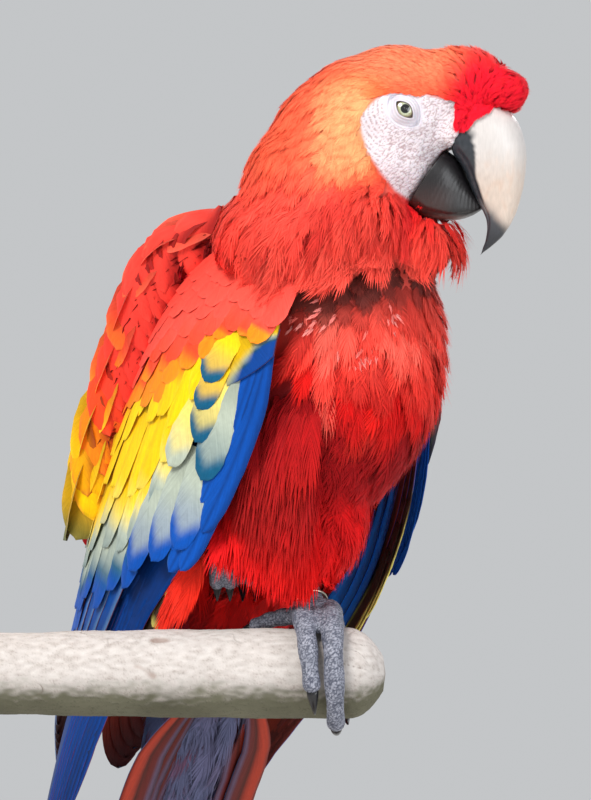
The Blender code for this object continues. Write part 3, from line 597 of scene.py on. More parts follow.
def markings(points):
    """The plumage colour at points of the flesh, skin and feathers alike."""
    head, body = world_to_head(points), world_to_body(points)
    forward, up = head[:, 0], head[:, 2]
    front, down = body[:, 1], -body[:, 2]
    back = smooth(-front, -0.005, 0.035)
    # painted shade: the deep crimson across the lower breast and the deep crimson and maroon towards the vent
    # are darker than the plumage itself, as in shade
    colour = ramp(
        (
            (-0.075, mix(SCARLET, SALMON, 0.8)), (-0.040, mix(SCARLET, SALMON, 0.5)), (-0.028, SCARLET),
            (-0.012, mix(CRIMSON, DEEP_CRIMSON, 0.8)), (0.010, mix(CRIMSON, DEEP_CRIMSON, 0.75)),
            (0.024, mix(SCARLET, CRIMSON, 0.6)), (0.09, SCARLET),
            (0.11, DEEP_CRIMSON), (0.135, MAROON), (0.155, GREY_BLUE), (0.30, GREY_BLUE * 0.7),
        ),
        down,
    )
    # painted shadow of the right wing: the flank beside it turns deep crimson
    painted_wing_shadow = smooth(body[:, 0], 0.012, 0.034)
    painted_wing_shadow *= smooth(down, -0.030, -0.018) * (1 - smooth(down, 0.012, 0.030))
    colour = mix(colour, DEEP_CRIMSON, 0.75 * painted_wing_shadow * smooth(front, 0.000, 0.012))
    mantle = ramp(
        (
            (-0.03, SCARLET), (0.06, CRIMSON), (0.085, mix(CRIMSON, SKY_BLUE, 0.35)),
            (0.105, SKY_BLUE), (0.30, BLUE),
        ),
        down,
    )
    colour = mix(colour, mantle, back)
    # painted highlight: the crown turns pinker towards its top, over its own orange red
    crown = mix(ORANGE_RED, CROWN_HIGHLIGHT_PINK, 0.30 + 0.70 * smooth(up, 0.008, 0.030))
    crown = mix(crown, FLAME, smooth(-forward, -0.004, 0.020) * (1 - smooth(up, 0.012, 0.030)))
    hood = mix(crown, mix(FLAME, SALMON, 0.65), smooth(-forward, 0.014, 0.040))
    hood = mix(hood, mix(SCARLET, SALMON, 0.75), smooth(-up, 0.010, 0.034))
    over_brow = smooth(up, 0.022, 0.034)
    brow_red = mix(mix(CRIMSON, ROSE, 0.75), mix(SCARLET, SALMON, 0.6), 0.6 * over_brow)
    hood = mix(hood, brow_red, smooth(forward - 0.41 * up, 0.0030, 0.0225) ** 1.4)
    behind = smooth(-forward, 0.009, 0.016) * (1 - smooth(-forward, 0.026, 0.042))
    hood = mix(hood, PEACH, 0.85 * behind * smooth(up, -0.028, -0.012) * (1 - smooth(up, 0.012, 0.026)))
    under_jaw = smooth(-up, 0.026, 0.036) * smooth(forward, -0.004, 0.008)
    hood = mix(hood, mix(SCARLET, CRIMSON, 0.5), under_jaw)
    return mix(colour, hood, headness(points))


# ---------------------------------------------------------------- skin


def eye_frame(side):
    """Centre of an eye, and its axes: along the opening, across it, and outward."""
    centre = np.array((EYE_FORWARD, side * EYE_SIDE, EYE_UP))
    outward = unit(np.array((0.16, side * 1.0, 0.05)))
    level = unit(np.cross(np.cross(outward, (1.0, 0.0, 0.0)), outward))
    rise = unit(np.array((0.0, 0.0, 1.0)) - outward * outward[2])
    level = unit(level - rise * (level @ rise))
    along = level * cos(EYELID_TILT) + rise * sin(EYELID_TILT)
    across = rise * cos(EYELID_TILT) - level * sin(EYELID_TILT)
    return centre, along, across, outward


def flesh():
    """The flesh nodes and the root of the tail as one closed surface, eye sockets filled."""
    nodes = [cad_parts[name].data for name in FLESH]
    fillers = [edited(bpy.data.meshes.new("flesh"), merge_doubles, *nodes)]
    for side in (-1, 1):
        centre = eye_frame(side)[0]
        ball = head_to_world(np.array((centre - (0, side * 0.004, 0), centre)))
        fillers.append(tube_mesh("socket", ball, (SOCKET_RADIUS, SOCKET_RADIUS), 16))
    cere, rings = capped("cere", bill_points(CERE, 8, 40, BILL_BOX["upper"])[0])
    move_points(cere, head_to_world(rings))
    fillers.append(cere)
    tail = body_to_world(np.array(TAIL_STUMP)[:, :3])
    fillers.append(tube_mesh("tail_root", tail, np.array(TAIL_STUMP)[:, 3], 20, 0.8))
    return joined("skin", fillers)


def subdivided(obj, chosen, cuts):
    """The object with the faces round chosen points divided further."""
    keep = set(np.nonzero(chosen)[0].tolist())

    def divide(bm):
        bm.verts.ensure_lookup_table()
        edges = [e for e in bm.edges if e.verts[0].index in keep and e.verts[1].index in keep]
        bmesh.ops.subdivide_edges(bm, edges=edges, cuts=cuts, use_grid_fill=True, smooth=0.0)

    edited(obj.data, divide)
    return obj


def round_eye(head_points, side):
    """Each point's height out of an eye, distance from its axis, and the lid's opening that way."""
    centre, along, across, outward = eye_frame(side)
    q = head_points - centre
    x, y = q @ along, q @ across
    angle = np.arctan2(y, x)
    wide = (np.abs(np.cos(angle)) / EYELID_LONG) ** EYELID_POWER
    tall = (np.abs(np.sin(angle)) / EYELID_SHORT) ** EYELID_POWER
    return q @ outward, np.hypot(x, y), 1 / (wide + tall) ** (1 / EYELID_POWER)


def shape_eyelids(head_points):
    """Rolls the lid's edge over the eyeball and sinks the skin inside the opening behind it."""
    points = head_points.copy()
    for side in (-1, 1):
        centre, _, _, outward = eye_frame(side)
        near = np.linalg.norm(points - centre, axis=-1) < 0.016
        near &= points[:, 1] * side > 0.010
        out, radius, opening = round_eye(points[near], side)
        ball = np.sqrt(np.maximum(EYE_RADIUS**2 - radius**2, 0.0))
        past = radius - opening
        rim = ball + LID_ROLL * np.sin(pi * np.clip(past / 0.0016, 0, 1)) ** 0.7
        fold = 0.00012 * lid_rings(past) * smooth(past, 0.0012, 0.002)
        fold *= 1 - smooth(past, 0.0050, 0.0070)
        away = smooth(past, 0.0006, 0.0052)
        height = rim * (1 - away) + np.maximum(out, ball * 0.6) * away
        height = np.maximum(height, ball + 0.0001) + fold
        inside = ball - 0.0012 - 0.0008 * smooth(-past, 0.0, 0.001)
        height = np.where(past < 0, inside, height)
        share = 1 - smooth(radius, 0.0105, 0.0130)
        points[near] += outward * ((height - out) * share)[:, None]
    return points


def lid_rings(past):
    """Fine rings round the lids, from -1 to 1, by distance past the opening."""
    return np.cos((past - 0.0008) / 0.00125 * 2 * pi)


def face_wrinkles(head_points):
    """Height of the fine folds of the bare face: pebbled rows below, fainter arcs behind the eye."""
    forward, up = head_points[:, 0], head_points[:, 2]
    centre_forward, centre_up, spacing = WRINKLE_ARCS
    to_eye = np.hypot(forward - centre_forward, up - centre_up)
    wander = rough(head_points, 210, 1)
    arcs = np.cos(2 * pi * (to_eye + 0.0007 * wander) / spacing)
    along = forward * cos(WRINKLE_SLOPE) + up * sin(WRINKLE_SLOPE) + 0.0006 * wander
    across = up * cos(WRINKLE_SLOPE) - forward * sin(WRINKLE_SLOPE) + 0.0006 * rough(head_points, 170, 2)
    cells = np.stack((along / WRINKLE_CELL[0], across / WRINKLE_CELL[1], head_points[:, 1] / 0.004), -1)
    nearest = np.array([noise.voronoi(Vector(c))[0][:2] for c in cells])
    pebbles = 2 * smooth(nearest[:, 1] - nearest[:, 0], 0.0, 0.26) - 1
    lower = np.maximum(smooth(-up - 0.5 * forward, -0.0100, 0.0000), smooth(forward, 0.006, 0.012))
    behind = 1 - smooth(forward, -0.0105, -0.0040)
    pattern = pebbles * (0.35 + 0.65 * lower) * (1 - 0.5 * behind) + arcs * behind * 0.75
    grains = rough(head_points, 1300, 3)
    return pattern, grains


def make_skin():
    """One skin under the coat: flesh shrunk by the coat's depth, with the bare face in full detail."""
    obj = relaxed(remeshed(flesh(), SKIN_VOXEL), 3)
    head = world_to_head(points_of(obj.data))
    obj = subdivided(obj, face_depth(head) > -0.0022, 3)
    head = world_to_head(points_of(obj.data))
    near = np.zeros(len(head), bool)
    for side in (-1, 1):
        near |= (round_eye(head, side)[1] < 0.0095) & (head[:, 1] * side > 0.014)
    obj = relaxed(subdivided(obj, near, 1), 2)
    points, normals = points_of(obj.data), normals_of(obj.data)
    head = world_to_head(points)
    bare = smooth(face_depth(head), -0.0020, 0.0012)
    depth = table_at(COAT_TABLE, reach_from_bill(points))[:, 3]
    points -= normals * (depth * (1 - bare) + 0.0003)[:, None]
    head = world_to_head(points)
    inside = face_depth(head)
    bare = smooth(inside, -0.0010, 0.0012)
    pattern, grains = np.zeros(len(head)), np.zeros(len(head))
    chosen = inside > -0.0015
    pattern[chosen], grains[chosen] = face_wrinkles(head[chosen])
    to_lid = np.full(len(head), 1.0)
    for side in (-1, 1):
        _, radius, opening = round_eye(head, side)
        to_lid = np.where(head[:, 1] * side > 0.010, np.minimum(to_lid, radius - opening), to_lid)
    pattern *= smooth(to_lid, 0.0026, 0.0070)
    points += normals * ((0.00010 * pattern + 0.00005 * grains) * bare)[:, None]
    points = head_to_world(shape_eyelids(world_to_head(points)))
    move_points(obj.data, points)
    head = world_to_head(points)
    forward, up = head[:, 0], head[:, 2]
    # painted shade: the feathered skin takes the markings at 0.75, as in the shade under the coat
    colour = mix(markings(points) * 0.75, face_colour(head, pattern, grains, to_lid), bare)
    gape = smooth(forward, 0.006, 0.012) * smooth(-up, 0.002, 0.006) * smooth(up, -0.034, -0.028)
    colour = mix(colour, GAPE_SKIN, gape * (1 - bare))
    set_tint(obj.data, colour)
    obj.data.polygons.foreach_set("use_smooth", np.ones(len(obj.data.polygons), bool))
    finish_piece(obj, skin_material(), "red_plumage", *FLESH)
    return obj.data


def face_colour(head, pattern, grains, to_lid):
    """White to lilac skin, more lilac low down and pinkish brown in its creases, both partly painted shade,
    with a dark line along the lids.
    """
    shade = 0.5 + 0.5 * np.clip(grains * 1.5, -1, 1)
    # the lilac varies at random; more lilac low down is partly painted shade
    colour = mix(FACE_WHITE, FACE_LILAC, 0.35 * shade + 0.35 * smooth(-head[:, 2], 0.0, 0.03))
    # painted shade: pinkish brown in the folds' hollows, partly the skin's own colour there
    colour = mix(colour, FACE_CREASE_SHADE, 0.62 * smooth(-pattern, 0.00, 0.85))
    lids = mix(LID_PALE, LID_GREY, 0.30 * (0.5 - 0.5 * lid_rings(to_lid)))
    colour = mix(lids, colour, smooth(to_lid, 0.0025, 0.0078))
    return mix(LID_DARK, colour, smooth(to_lid, 0.0001, 0.0006))


# ---------------------------------------------------------------- feathers in batches


class Coat:
    """Many small feathers gathered as arrays and made into one mesh."""

    def __init__(self, name):
        self.name = name
        self.points, self.tints, self.grains, self.maps, self.facings = [], [], [], [], []
        self.quads, self.tris = [], []
        self.count = 0

    def add(self, points, quads, tris, tints, grains, maps, facings):
        """Feathers by points by values; quads and tris are one feather's own.

        facings are the outward normals of the surface that the feathers lie on."""
        feathers, each = points.shape[:2]
        start = self.count + (np.arange(feathers) * each)[:, None, None]
        if len(quads):
            self.quads.append((start + quads[None]).reshape(-1, 4))
        if len(tris):
            self.tris.append((start + tris[None]).reshape(-1, 3))
        self.count += feathers * each
        for held, values in (
            (self.points, points), (self.tints, tints), (self.grains, grains), (self.maps, maps),
            (self.facings, facings),
        ):
            held.append(values.reshape(feathers * each, -1))

    def triangles(self):
        return 2 * sum(map(len, self.quads)) + sum(map(len, self.tris))

    def make(self, material, slot, *replaced, soft=0.0):
        quads = np.concatenate(self.quads) if self.quads else ()
        tris = np.concatenate(self.tris) if self.tris else ()
        mesh = mesh_from(self.name, np.concatenate(self.points), quads, tris)
        set_tint(mesh, np.clip(np.concatenate(self.tints), 0, 1))
        set_grain(mesh, np.concatenate(self.grains))
        corners = np.empty(len(mesh.loops), np.int32)
        mesh.loops.foreach_get("vertex_index", corners)
        layer = mesh.uv_layers.new(name="OFBake")
        flat = np.concatenate(self.maps)[corners]
        layer.uv.foreach_set("vector", flat.astype(np.float32).ravel())
        if soft:
            facings, own = np.concatenate(self.facings), normals_of(mesh)
            own = own * np.where((own * facings).sum(-1, keepdims=True) < 0, -1.0, 1.0)
            mesh.normals_split_custom_set_from_vertices(unit(mix(own, facings, soft)))
        finish_piece(new_object(self.name, mesh), material, slot, *replaced)
        print(self.name, self.triangles(), "triangles")


def lay_out(paths, normals, along, across, height):
    """World places of feather points from their share along, distance across and height."""
    stations = paths.shape[1]
    tangents = unit(np.gradient(paths, axis=1))
    place = along * (stations - 1)
    k = np.clip(np.floor(place).astype(int), 0, stations - 2)
    t = (place - k)[..., None]
    rows = np.arange(len(paths))[:, None]
    held = np.clip(t, 0, 1)
    spine = paths[rows, k] + (paths[rows, k + 1] - paths[rows, k]) * t
    normal = unit(normals[rows, k] * (1 - held) + normals[rows, k + 1] * held)
    tangent = tangents[rows, k] * (1 - held) + tangents[rows, k + 1] * held
    side = unit(np.cross(tangent, normal))
    return spine + side * across[..., None] + normal * height[..., None], normal


def patches(homes, along, across, size=(0.003, 0.003)):
    """Small OFBake patches, one for each feather, at its root's place on the unwrap."""
    place = np.stack((across * 0.5 * size[0], (along - 0.5) * size[1]), -1)
    return np.clip(homes[:, None] + place, 0.002, 0.998)


def blade_outline(along, tip, root_width):
    """Half width of a blade from its root (0) to its rounded tip (1)."""
    rise = root_width + (1 - root_width) * smooth(along, 0.0, 0.35)
    end = np.sqrt(np.clip(1 - (np.maximum(along - tip, 0) / (1 - tip)) ** 2, 0, 1))
    return rise * end


def column(value, count):
    """A column with one value for each feather, from a single number or a row of them."""
    return np.broadcast_to(np.asarray(value, float), (count,))[:, None]


def add_contour_feathers(coat, paths, normals, half_width, lift, colour, tip_colour, homes, barbs, seed):
    """Soft body feathers: a small inner vane, and barbs that sweep forward past its edge."""
    rng = np.random.default_rng(seed)
    feathers = len(paths)
    if not feathers:
        return
    length = np.linalg.norm(np.diff(paths, axis=1), axis=-1).sum(1)
    half, rise = column(half_width, feathers), column(lift, feathers)
    bright = rng.uniform(0.90, 1.07, feathers)[:, None]
    own = rng.uniform(0, 1, feathers)[:, None]
    rows, columns = 5, 5
    a, x = np.meshgrid(np.linspace(0, 1, rows), np.linspace(-1, 1, columns), indexing="ij")
    a, x = a.ravel()[None].repeat(feathers, 0), x.ravel()[None].repeat(feathers, 0)
    along = a * 0.90
    across = x * blade_outline(a, 0.5, 0.35) * half * 0.80
    height = rise * along**0.8 - 0.12 * x**2 * half + 0.00015
    # painted shade: the vane is darker towards its root, where the feathers above overlap it; partly the
    # darker down at a feather's base
    shade = 0.80 + 0.20 * smooth(along, 0.10, 0.50)
    tint = colour[:, None] * (shade * bright)[..., None]
    tint = mix(tint, tip_colour[:, None] * bright[..., None], 0.55 * smooth(along, 0.55, 0.92))
    grain = np.stack((along, x, own.repeat(along.shape[1], 1)), -1)
    places, facings = lay_out(paths, normals, along, across, height)
    coat.add(places, grid_quads(rows, columns), (), tint, grain, patches(homes, along, x), facings)
    out = np.linspace(0, 1, barbs)[None, :, None]
    side = np.array((-1.0, 1.0))[None, None, :]
    shape = (feathers, barbs, 2)
    tip_along = 0.34 + 0.72 * out + rng.normal(0, 0.030, shape)
    reach = np.sqrt(np.clip(1 - (np.maximum(tip_along - 0.42, 0) / 0.64) ** 2, 0, 1))
    reach = reach * rng.uniform(0.84, 1.12, shape)
    tip_across = side * half[..., None] * (reach + 0.04)
    root_along = np.clip(tip_along - 0.36 - 0.10 * out, 0.02, 0.86)
    curl = rise[..., None] * rng.normal(0.06, 0.16, shape)
    thick = (half / barbs + 0.00006)[..., None] * rng.uniform(0.7, 1.2, shape)
    run = (tip_along - root_along) * length[:, None, None]
    norm = np.hypot(run, tip_across) + 1e-9
    aside_along, aside_across = -tip_across / norm * thick / length[:, None, None], run / norm * thick
    middle_along = root_along + (tip_along - root_along) * 0.50
    middle_across = tip_across * 0.66
    none = 0 * curl

    def barb_corners(root, middle, tip, aside):
        """The five corners of each barb: two at its root, two at its middle and its tip."""
        corners = (root - aside * 0.6, root + aside * 0.6, middle + aside, middle - aside, tip)
        return np.stack(corners, -1).reshape(feathers, -1)

    along = barb_corners(root_along, middle_along, tip_along, aside_along)
    across = barb_corners(none, middle_across, tip_across, aside_across)
    level = barb_corners(none, curl * 0.4, curl, none)
    x = across / half
    height = rise * np.clip(along, 0, 1.1) ** 0.8 - 0.12 * x**2 * half + level + 0.0003
    each = np.repeat(rng.uniform(0.90, 1.08, (feathers, barbs * 2)), 5, 1)
    end = np.tile(np.array((0.0, 0.0, 0.5, 0.5, 1.0)), barbs * 2)[None]
    # painted shade: the barbs are darker towards the root as well, partly the darker down at the base
    shade = 0.83 + 0.17 * smooth(along, 0.08, 0.45)
    tint = colour[:, None] * (shade * bright * each)[..., None]
    tint = mix(tint, tip_colour[:, None] * (bright * each)[..., None], 0.75 * end * smooth(along, 0.40, 0.95))
    grain = np.stack((along, x, own.repeat(along.shape[1], 1)), -1)
    first = (np.arange(barbs * 2) * 5)[:, None]
    quads = first + np.array((0, 1, 2, 3))
    tris = first + np.array((3, 2, 4))
    places, facings = lay_out(paths, normals, along, across, height)
    coat.add(places, quads, tris, tint, grain, patches(homes, np.clip(along, 0, 1), x), facings)


def add_drape(coat, tree):
    """Long soft belly feathers that hang over the drawn-up foot, and a tuft at the wing's edge."""
    rng = np.random.default_rng(51)
    count = 420
    x, z = rng.uniform(-0.041, 0.014, count), rng.uniform(0.562, 0.624, count)
    hits = [tree.ray_cast(Vector((a, -0.3, b)), Vector((0, 1, 0))) for a, b in zip(x, z, strict=True)]
    roots = np.array([hit[0] for hit in hits if hit[0] is not None])
    roots = roots[(roots[:, 1] < 0.01) & (roots[:, 0] > lookup(DRAPE_SIDE, roots[:, 2]))]
    hem = lookup(DRAPE_HEM, roots[:, 0]) + np.abs(rng.normal(0, 0.0035, len(roots)))
    drop = np.clip(roots[:, 2] - hem, 0.018, 0.046)
    front = np.minimum(roots[:, 1] - 0.001, DRAPE_FRONT + rng.normal(0, 0.0012, len(roots)))
    s = np.linspace(0, 1, 6)[None]
    forward = roots[:, 1:2] + (front - roots[:, 1])[:, None] * smooth(s, 0.0, 0.7) - 0.002 * np.sin(pi * s)
    drift = rng.normal(-0.002, 0.0022, len(roots)) - 0.007 * smooth(-roots[:, 0], 0.014, 0.024)
    sideways = roots[:, :1] + drift[:, None] * s
    paths = np.stack((sideways, forward, roots[:, 2:] - drop[:, None] * s), -1)
    normals = np.broadcast_to(unit(np.array((-0.15, -1.0, 0.18))), paths.shape)
    place = rough(roots, 45, 52)
    base = mix(SCARLET, CRIMSON, np.clip(0.6 + 0.6 * place, 0, 1))
    base = mix(markings(roots), base, smooth(0.612 - roots[:, 2], 0.0, 0.040))
    add_contour_feathers(
        coat, paths, normals, 0.0052, rng.uniform(0.001, 0.004, len(roots)), base,
        mix(base, ORANGE_RED, 0.12), unwrap_home(roots), 18, 53,
    )
    count = 12
    down, angle = rng.uniform(0.058, 0.080, count), rng.uniform(-18.0, -11.0, count)
    paths, normals = wing_paths("r", down, angle, rng.uniform(0.030, 0.042, count), 2.0, 0.0115, 0.0100)
    base = np.broadcast_to(mix(SCARLET, ORANGE_RED, 0.3), (count, 3))
    add_contour_feathers(
        coat, paths, normals, 0.0042, 0.0010, base, mix(base, SALMON, 0.3), unwrap_home(paths[:, 0]), 14, 54
    )


def roots_in_front(tree, places):
    """Where lines from straight in front, at places given as (right, up) in body axes, meet the skin."""
    hits = [tree.ray_cast(Vector(body_to_world((x, 0.2, z))), Vector(-BODY_AXES[1]))[0] for x, z in places]
    return np.array([hit for hit in hits if hit is not None])


def add_locks(coat, tree):
    """Loose pointed locks along the ruff's edge, and pale down between the breast feathers."""
    rng = np.random.default_rng(61)
    right, length = np.repeat(np.array(RUFF_LOCKS), 3, 0).T
    right = right + rng.normal(0, 0.0012, len(right))
    length = length * rng.uniform(0.75, 1.0, len(right))
    rise = lookup(RUFF_LINE, right) + 0.013 + rng.uniform(-0.002, 0.004, len(right))
    roots = roots_in_front(tree, np.stack((right, rise), -1))
    paths, facings = follow(tree, roots, length, rng.normal(0, 0.10, len(roots)))
    base = markings(paths[:, 2]) * rng.uniform(0.88, 1.08, (len(roots), 1))
    add_contour_feathers(
        coat, paths, facings, length * 0.15, rng.uniform(0.009, 0.014, len(roots)), base,
        mix(base, SALMON, 0.3), unwrap_home(roots), 22, 62,
    )
    spots = np.repeat(np.array(DOWN_SPOTS), 9, 0)
    spots = spots + rng.normal(0, 0.0021, spots.shape)
    roots = roots_in_front(tree, spots)
    count = len(roots)
    paths, facings = follow(tree, roots, rng.uniform(0.0042, 0.0066, count), rng.normal(0, 0.45, count))
    base = mix(DOWN_GREY, SALMON, rng.uniform(0.55, 0.92, count))
    add_contour_feathers(
        coat, paths, facings, 0.0007, rng.uniform(0.0026, 0.0040, count), base,
        mix(base, SALMON, 0.3), unwrap_home(roots), 5, 63,
    )


def add_brow_hem(coat, skin_mesh):
    """Small feathers of the brow and lores that lie over the base of the bill."""
    rng = np.random.default_rng(71)
    count, sides = 40, 48
    bill = bill_points(UPPER_BILL, count, sides, BILL_BOX["upper"])[0].reshape(-1, 3)
    skin = world_to_head(points_of(skin_mesh))
    faces = [tuple(p.vertices) for p in skin_mesh.polygons]
    faces += [tuple(f) for f in (grid_quads(count, sides, closed=True) + len(skin)).tolist()]
    tree = BVHTree.FromPolygons(np.concatenate((skin, bill)).tolist(), faces)
    for side in (-1.0, 1.0):
        forward = np.tile(np.arange(BROW_HEM[0][0], BROW_HEM[-1][0], 0.00055), 7)
        layer = np.repeat(np.arange(7), len(forward) // 7)
        forward = forward + rng.normal(0, 0.0003, len(forward))
        length = rng.uniform(0.0055, 0.0075, len(forward))
        low = lookup(BROW_HEM, forward) + 0.0014 * layer + rng.uniform(0.0, 0.0010, len(forward))
        s = np.linspace(0, 1, 6)[None]
        x = forward[:, None] + (0.0022 + rng.normal(0, 0.0005, len(forward)))[:, None] * (1 - s)
        z = low[:, None] + length[:, None] * (1 - s)
        aside = np.zeros(x.shape)
        for k in np.ndindex(x.shape):
            hit = tree.ray_cast(Vector((x[k], side * 0.05, z[k])), Vector((0, -side, 0)))[0]
            aside[k] = abs(hit[1]) if hit is not None else 0.004
        paths = np.stack((x, side * (aside + 0.0002), z), -1)
        normals = np.broadcast_to(unit(np.array((0.15, side, 0.25))) @ HEAD_AXES, paths.shape)
        base = mix(CRIMSON, ROSE, 0.75) * rng.uniform(0.85, 1.08, (len(x), 1))
        paths = head_to_world(paths)
        add_contour_feathers(
            coat, paths, normals, 0.0010, rng.uniform(0.0004, 0.0012, len(x)), base,
            mix(base, ROSE, 0.5), unwrap_home(paths[:, 0]), 6, 72,
        )


def add_blades(
    coat, kind, paths, normals, half_width, colours, homes, seed, under=None, patch=(0.003, 0.003),
):
    """Whole vanes with a raised shaft. colours(along, across) gives the tint of every point.

    A kind with a thickness gets an under side, tinted by under(along, across)."""
    rng = np.random.default_rng(seed)
    rows, fringe, cup, tip, root_width, thickness = BLADES[kind]
    feathers, columns = len(paths), BLADE_COLUMNS
    half = column(half_width, feathers)
    a = 1 - (1 - np.linspace(0, 1, rows)) ** 1.35
    a, x = np.meshgrid(a, np.linspace(-1, 1, columns), indexing="ij")
    a, x = a.ravel()[None].repeat(feathers, 0), x.ravel()[None].repeat(feathers, 0)
    edge = np.abs(x) > 0.99
    ragged = rng.normal(0, 1, a.shape) * fringe * half
    along = a + np.where(a > 0.95, ragged * 0.6 / np.maximum(half, 1e-6) * 0.05, 0)
    across = x * blade_outline(a, tip, root_width) * half + np.where(edge, ragged, 0)
    ridge = 0.0004 * np.exp(-((x / 0.16) ** 2)) * (1 - a)
    height = ridge - cup * x**2 * half + rng.normal(0, 0.00006, a.shape)
    tint = colours(a, x)
    own = rng.uniform(0, 1, feathers)[:, None].repeat(a.shape[1], 1)
    grain = np.stack((a, x, own), -1)
    quads = grid_quads(rows, columns)
    places, facings = lay_out(paths, normals, along, across, height)
    if not thickness:
        coat.add(places, quads, (), tint, grain, patches(homes, a, x, patch), facings)
        return
    count = rows * columns
    index = np.arange(count).reshape(rows, columns)
    rim = np.concatenate((index[:, 0], index[-1, 1:], index[::-1, -1][1:], index[0, ::-1][1:-1]))
    after = np.roll(rim, -1)
    walls = np.stack((rim, after, after + count, rim + count), -1)
    quads = np.concatenate((quads, quads[:, ::-1] + count, walls))
    half_patch = np.array(patch) * (0.5, 1.0)
    homes_low = homes + np.array((0.0, patch[1] * 0.55))
    maps = [patches(home, a, x, half_patch) for home in (homes, homes_low)]
    coat.add(
        np.concatenate((places, places - facings * thickness), 1), quads, (),
        np.concatenate((tint, under(a, x)), 1), np.concatenate((grain, grain), 1),
        np.concatenate(maps, 1), np.concatenate((facings, -facings), 1),
    )


# ---------------------------------------------------------------- coat of the head and body


def unwrap_home(points):
    """Each root's place on an unwrap of the skin: the head above, the body below."""
    head, body = world_to_head(points), world_to_body(points)
    on_head = reach_from_bill(points) < HEAD_REACH
    turn_head = np.arctan2(head[:, 1], head[:, 2] + 0.005) / (2 * pi) + 0.5
    rise_head = 0.56 + 0.42 * (head[:, 0] + 0.055) / 0.110
    turn_body = np.arctan2(body[:, 0], body[:, 1] + 0.004) / (2 * pi) + 0.5
    rise_body = 0.02 + 0.48 * (body[:, 2] + 0.29) / 0.42
    turn = np.where(on_head, turn_head, turn_body)
    rise = np.where(on_head, rise_head, rise_body)
    return np.clip(np.stack((turn, rise), -1), 0.004, 0.996)


def flow(points):
    """The way feathers lie: back from the bill, down the neck and then down the spine."""
    head = world_to_head(points)
    away = unit(head - BILL_BASE)
    behind = smooth(-head[:, 0], 0.005, 0.030)
    away = away + np.array((0.0, 0.0, -0.9)) * behind[:, None]
    low = smooth(-head[:, 2], 0.010, 0.040)
    away = away + np.array((-0.15, 0.0, -1.1)) * low[:, None]
    down_spine = -BODY_AXES[2] + np.array((0.0, 0.0, -0.25))
    share = headness(points)[:, None]
    return unit(unit(away) @ HEAD_AXES * share + unit(down_spine) * (1 - share))


def surface_samples(mesh, count, weight, rng):
    """Points scattered over a mesh, with their normals, as thick as the weight says."""
    mesh.calc_loop_triangles()
    corners = np.empty(len(mesh.loop_triangles) * 3, np.int32)
    mesh.loop_triangles.foreach_get("vertices", corners)
    corners = corners.reshape(-1, 3)
    points, normals = points_of(mesh), normals_of(mesh)
    a, b, c = (points[corners[:, k]] for k in range(3))
    area = np.linalg.norm(np.cross(b - a, c - a), axis=-1) / 2
    share = area * weight((a + b + c) / 3)
    picked = rng.choice(len(corners), count, p=share / share.sum())
    u, v = rng.uniform(0, 1, (2, count))
    u, v = np.where(u + v > 1, 1 - u, u), np.where(u + v > 1, 1 - v, v)
    places = a[picked] + (b - a)[picked] * u[:, None] + (c - a)[picked] * v[:, None]
    facing = normals[corners[picked]].mean(1)
    return places, unit(facing)


def thinned(points, spacing):
    """Which points to keep, so that none is nearer another than its spacing."""
    tree = KDTree(len(points))
    for k, p in enumerate(points):
        tree.insert(p, k)
    tree.balance()
    gone = np.zeros(len(points), bool)
    kept = []
    for k, p in enumerate(points):
        if gone[k]:
            continue
        kept.append(k)
        for _, other, _ in tree.find_range(p, spacing[k]):
            gone[other] = True
    return np.array(kept)


def follow(tree, roots, lengths, turn):
    """Paths from each root along the lie of the coat, kept on the skin, and their normals."""
    places, paths, facings = roots.copy(), [], []
    for _ in range(COAT_STATIONS):
        found = [tree.find_nearest(Vector(p)) for p in places]
        places = np.array([f[0] for f in found])
        normals = np.array([f[1] for f in found])
        paths.append(places)
        facings.append(normals)
        way = flow(places)
        way = way + np.cross(normals, way) * turn[:, None]
        way = unit(way - normals * (way * normals).sum(-1, keepdims=True))
        places = places + way * (lengths / (COAT_STATIONS - 1))[:, None]
    paths, facings = np.stack(paths, 1), np.stack(facings, 1)
    for _ in range(2):
        facings[:, 1:-1] = unit(facings[:, :-2] + 2 * facings[:, 1:-1] + facings[:, 2:])
    return paths, facings


def covered_by_wing(points, normals):
    """Where the folded wings or the shoulders lie close over the skin."""
    trees = []
    for side in ("r", "l"):
        for part in ("coverts", "secondaries", "primaries"):
            trees.append(BVHTree.FromObject(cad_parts[f"wing_{side}_{part}"], graph()))
        trees.append(BVHTree.FromObject(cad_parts[f"scapulars_{side}"], graph()))
    hidden = np.zeros(len(points), bool)
    for k, (p, n) in enumerate(zip(points, normals, strict=True)):
        origin, way = Vector(p), Vector(n)
        hidden[k] = any(t.ray_cast(origin, way, WING_CLOSE)[0] is not None for t in trees)
    return hidden


def coat_roots(mesh, rng):
    """Roots of the coat's feathers, as far apart as the coat table says."""

    def spacing(places):
        rows = table_at(COAT_TABLE, reach_from_bill(places))
        return rows[:, 0] * rows[:, 4]

    places, normals = surface_samples(mesh, ROOTS_TRIED, lambda p: 1 / spacing(p) ** 2, rng)
    kept = thinned(places, spacing(places))
    places, normals = places[kept], normals[kept]
    head = world_to_head(places)
    forward, aside, up = head[:, 0], np.abs(head[:, 1]), head[:, 2]
    free = ~((face_depth(head) > 0.0004) | covered_by_wing(places, normals))
    for start, width, low, high in MOUTH:
        free &= ~((forward > start) & (aside < width) & (up > low) & (up < high))
    return places[free]


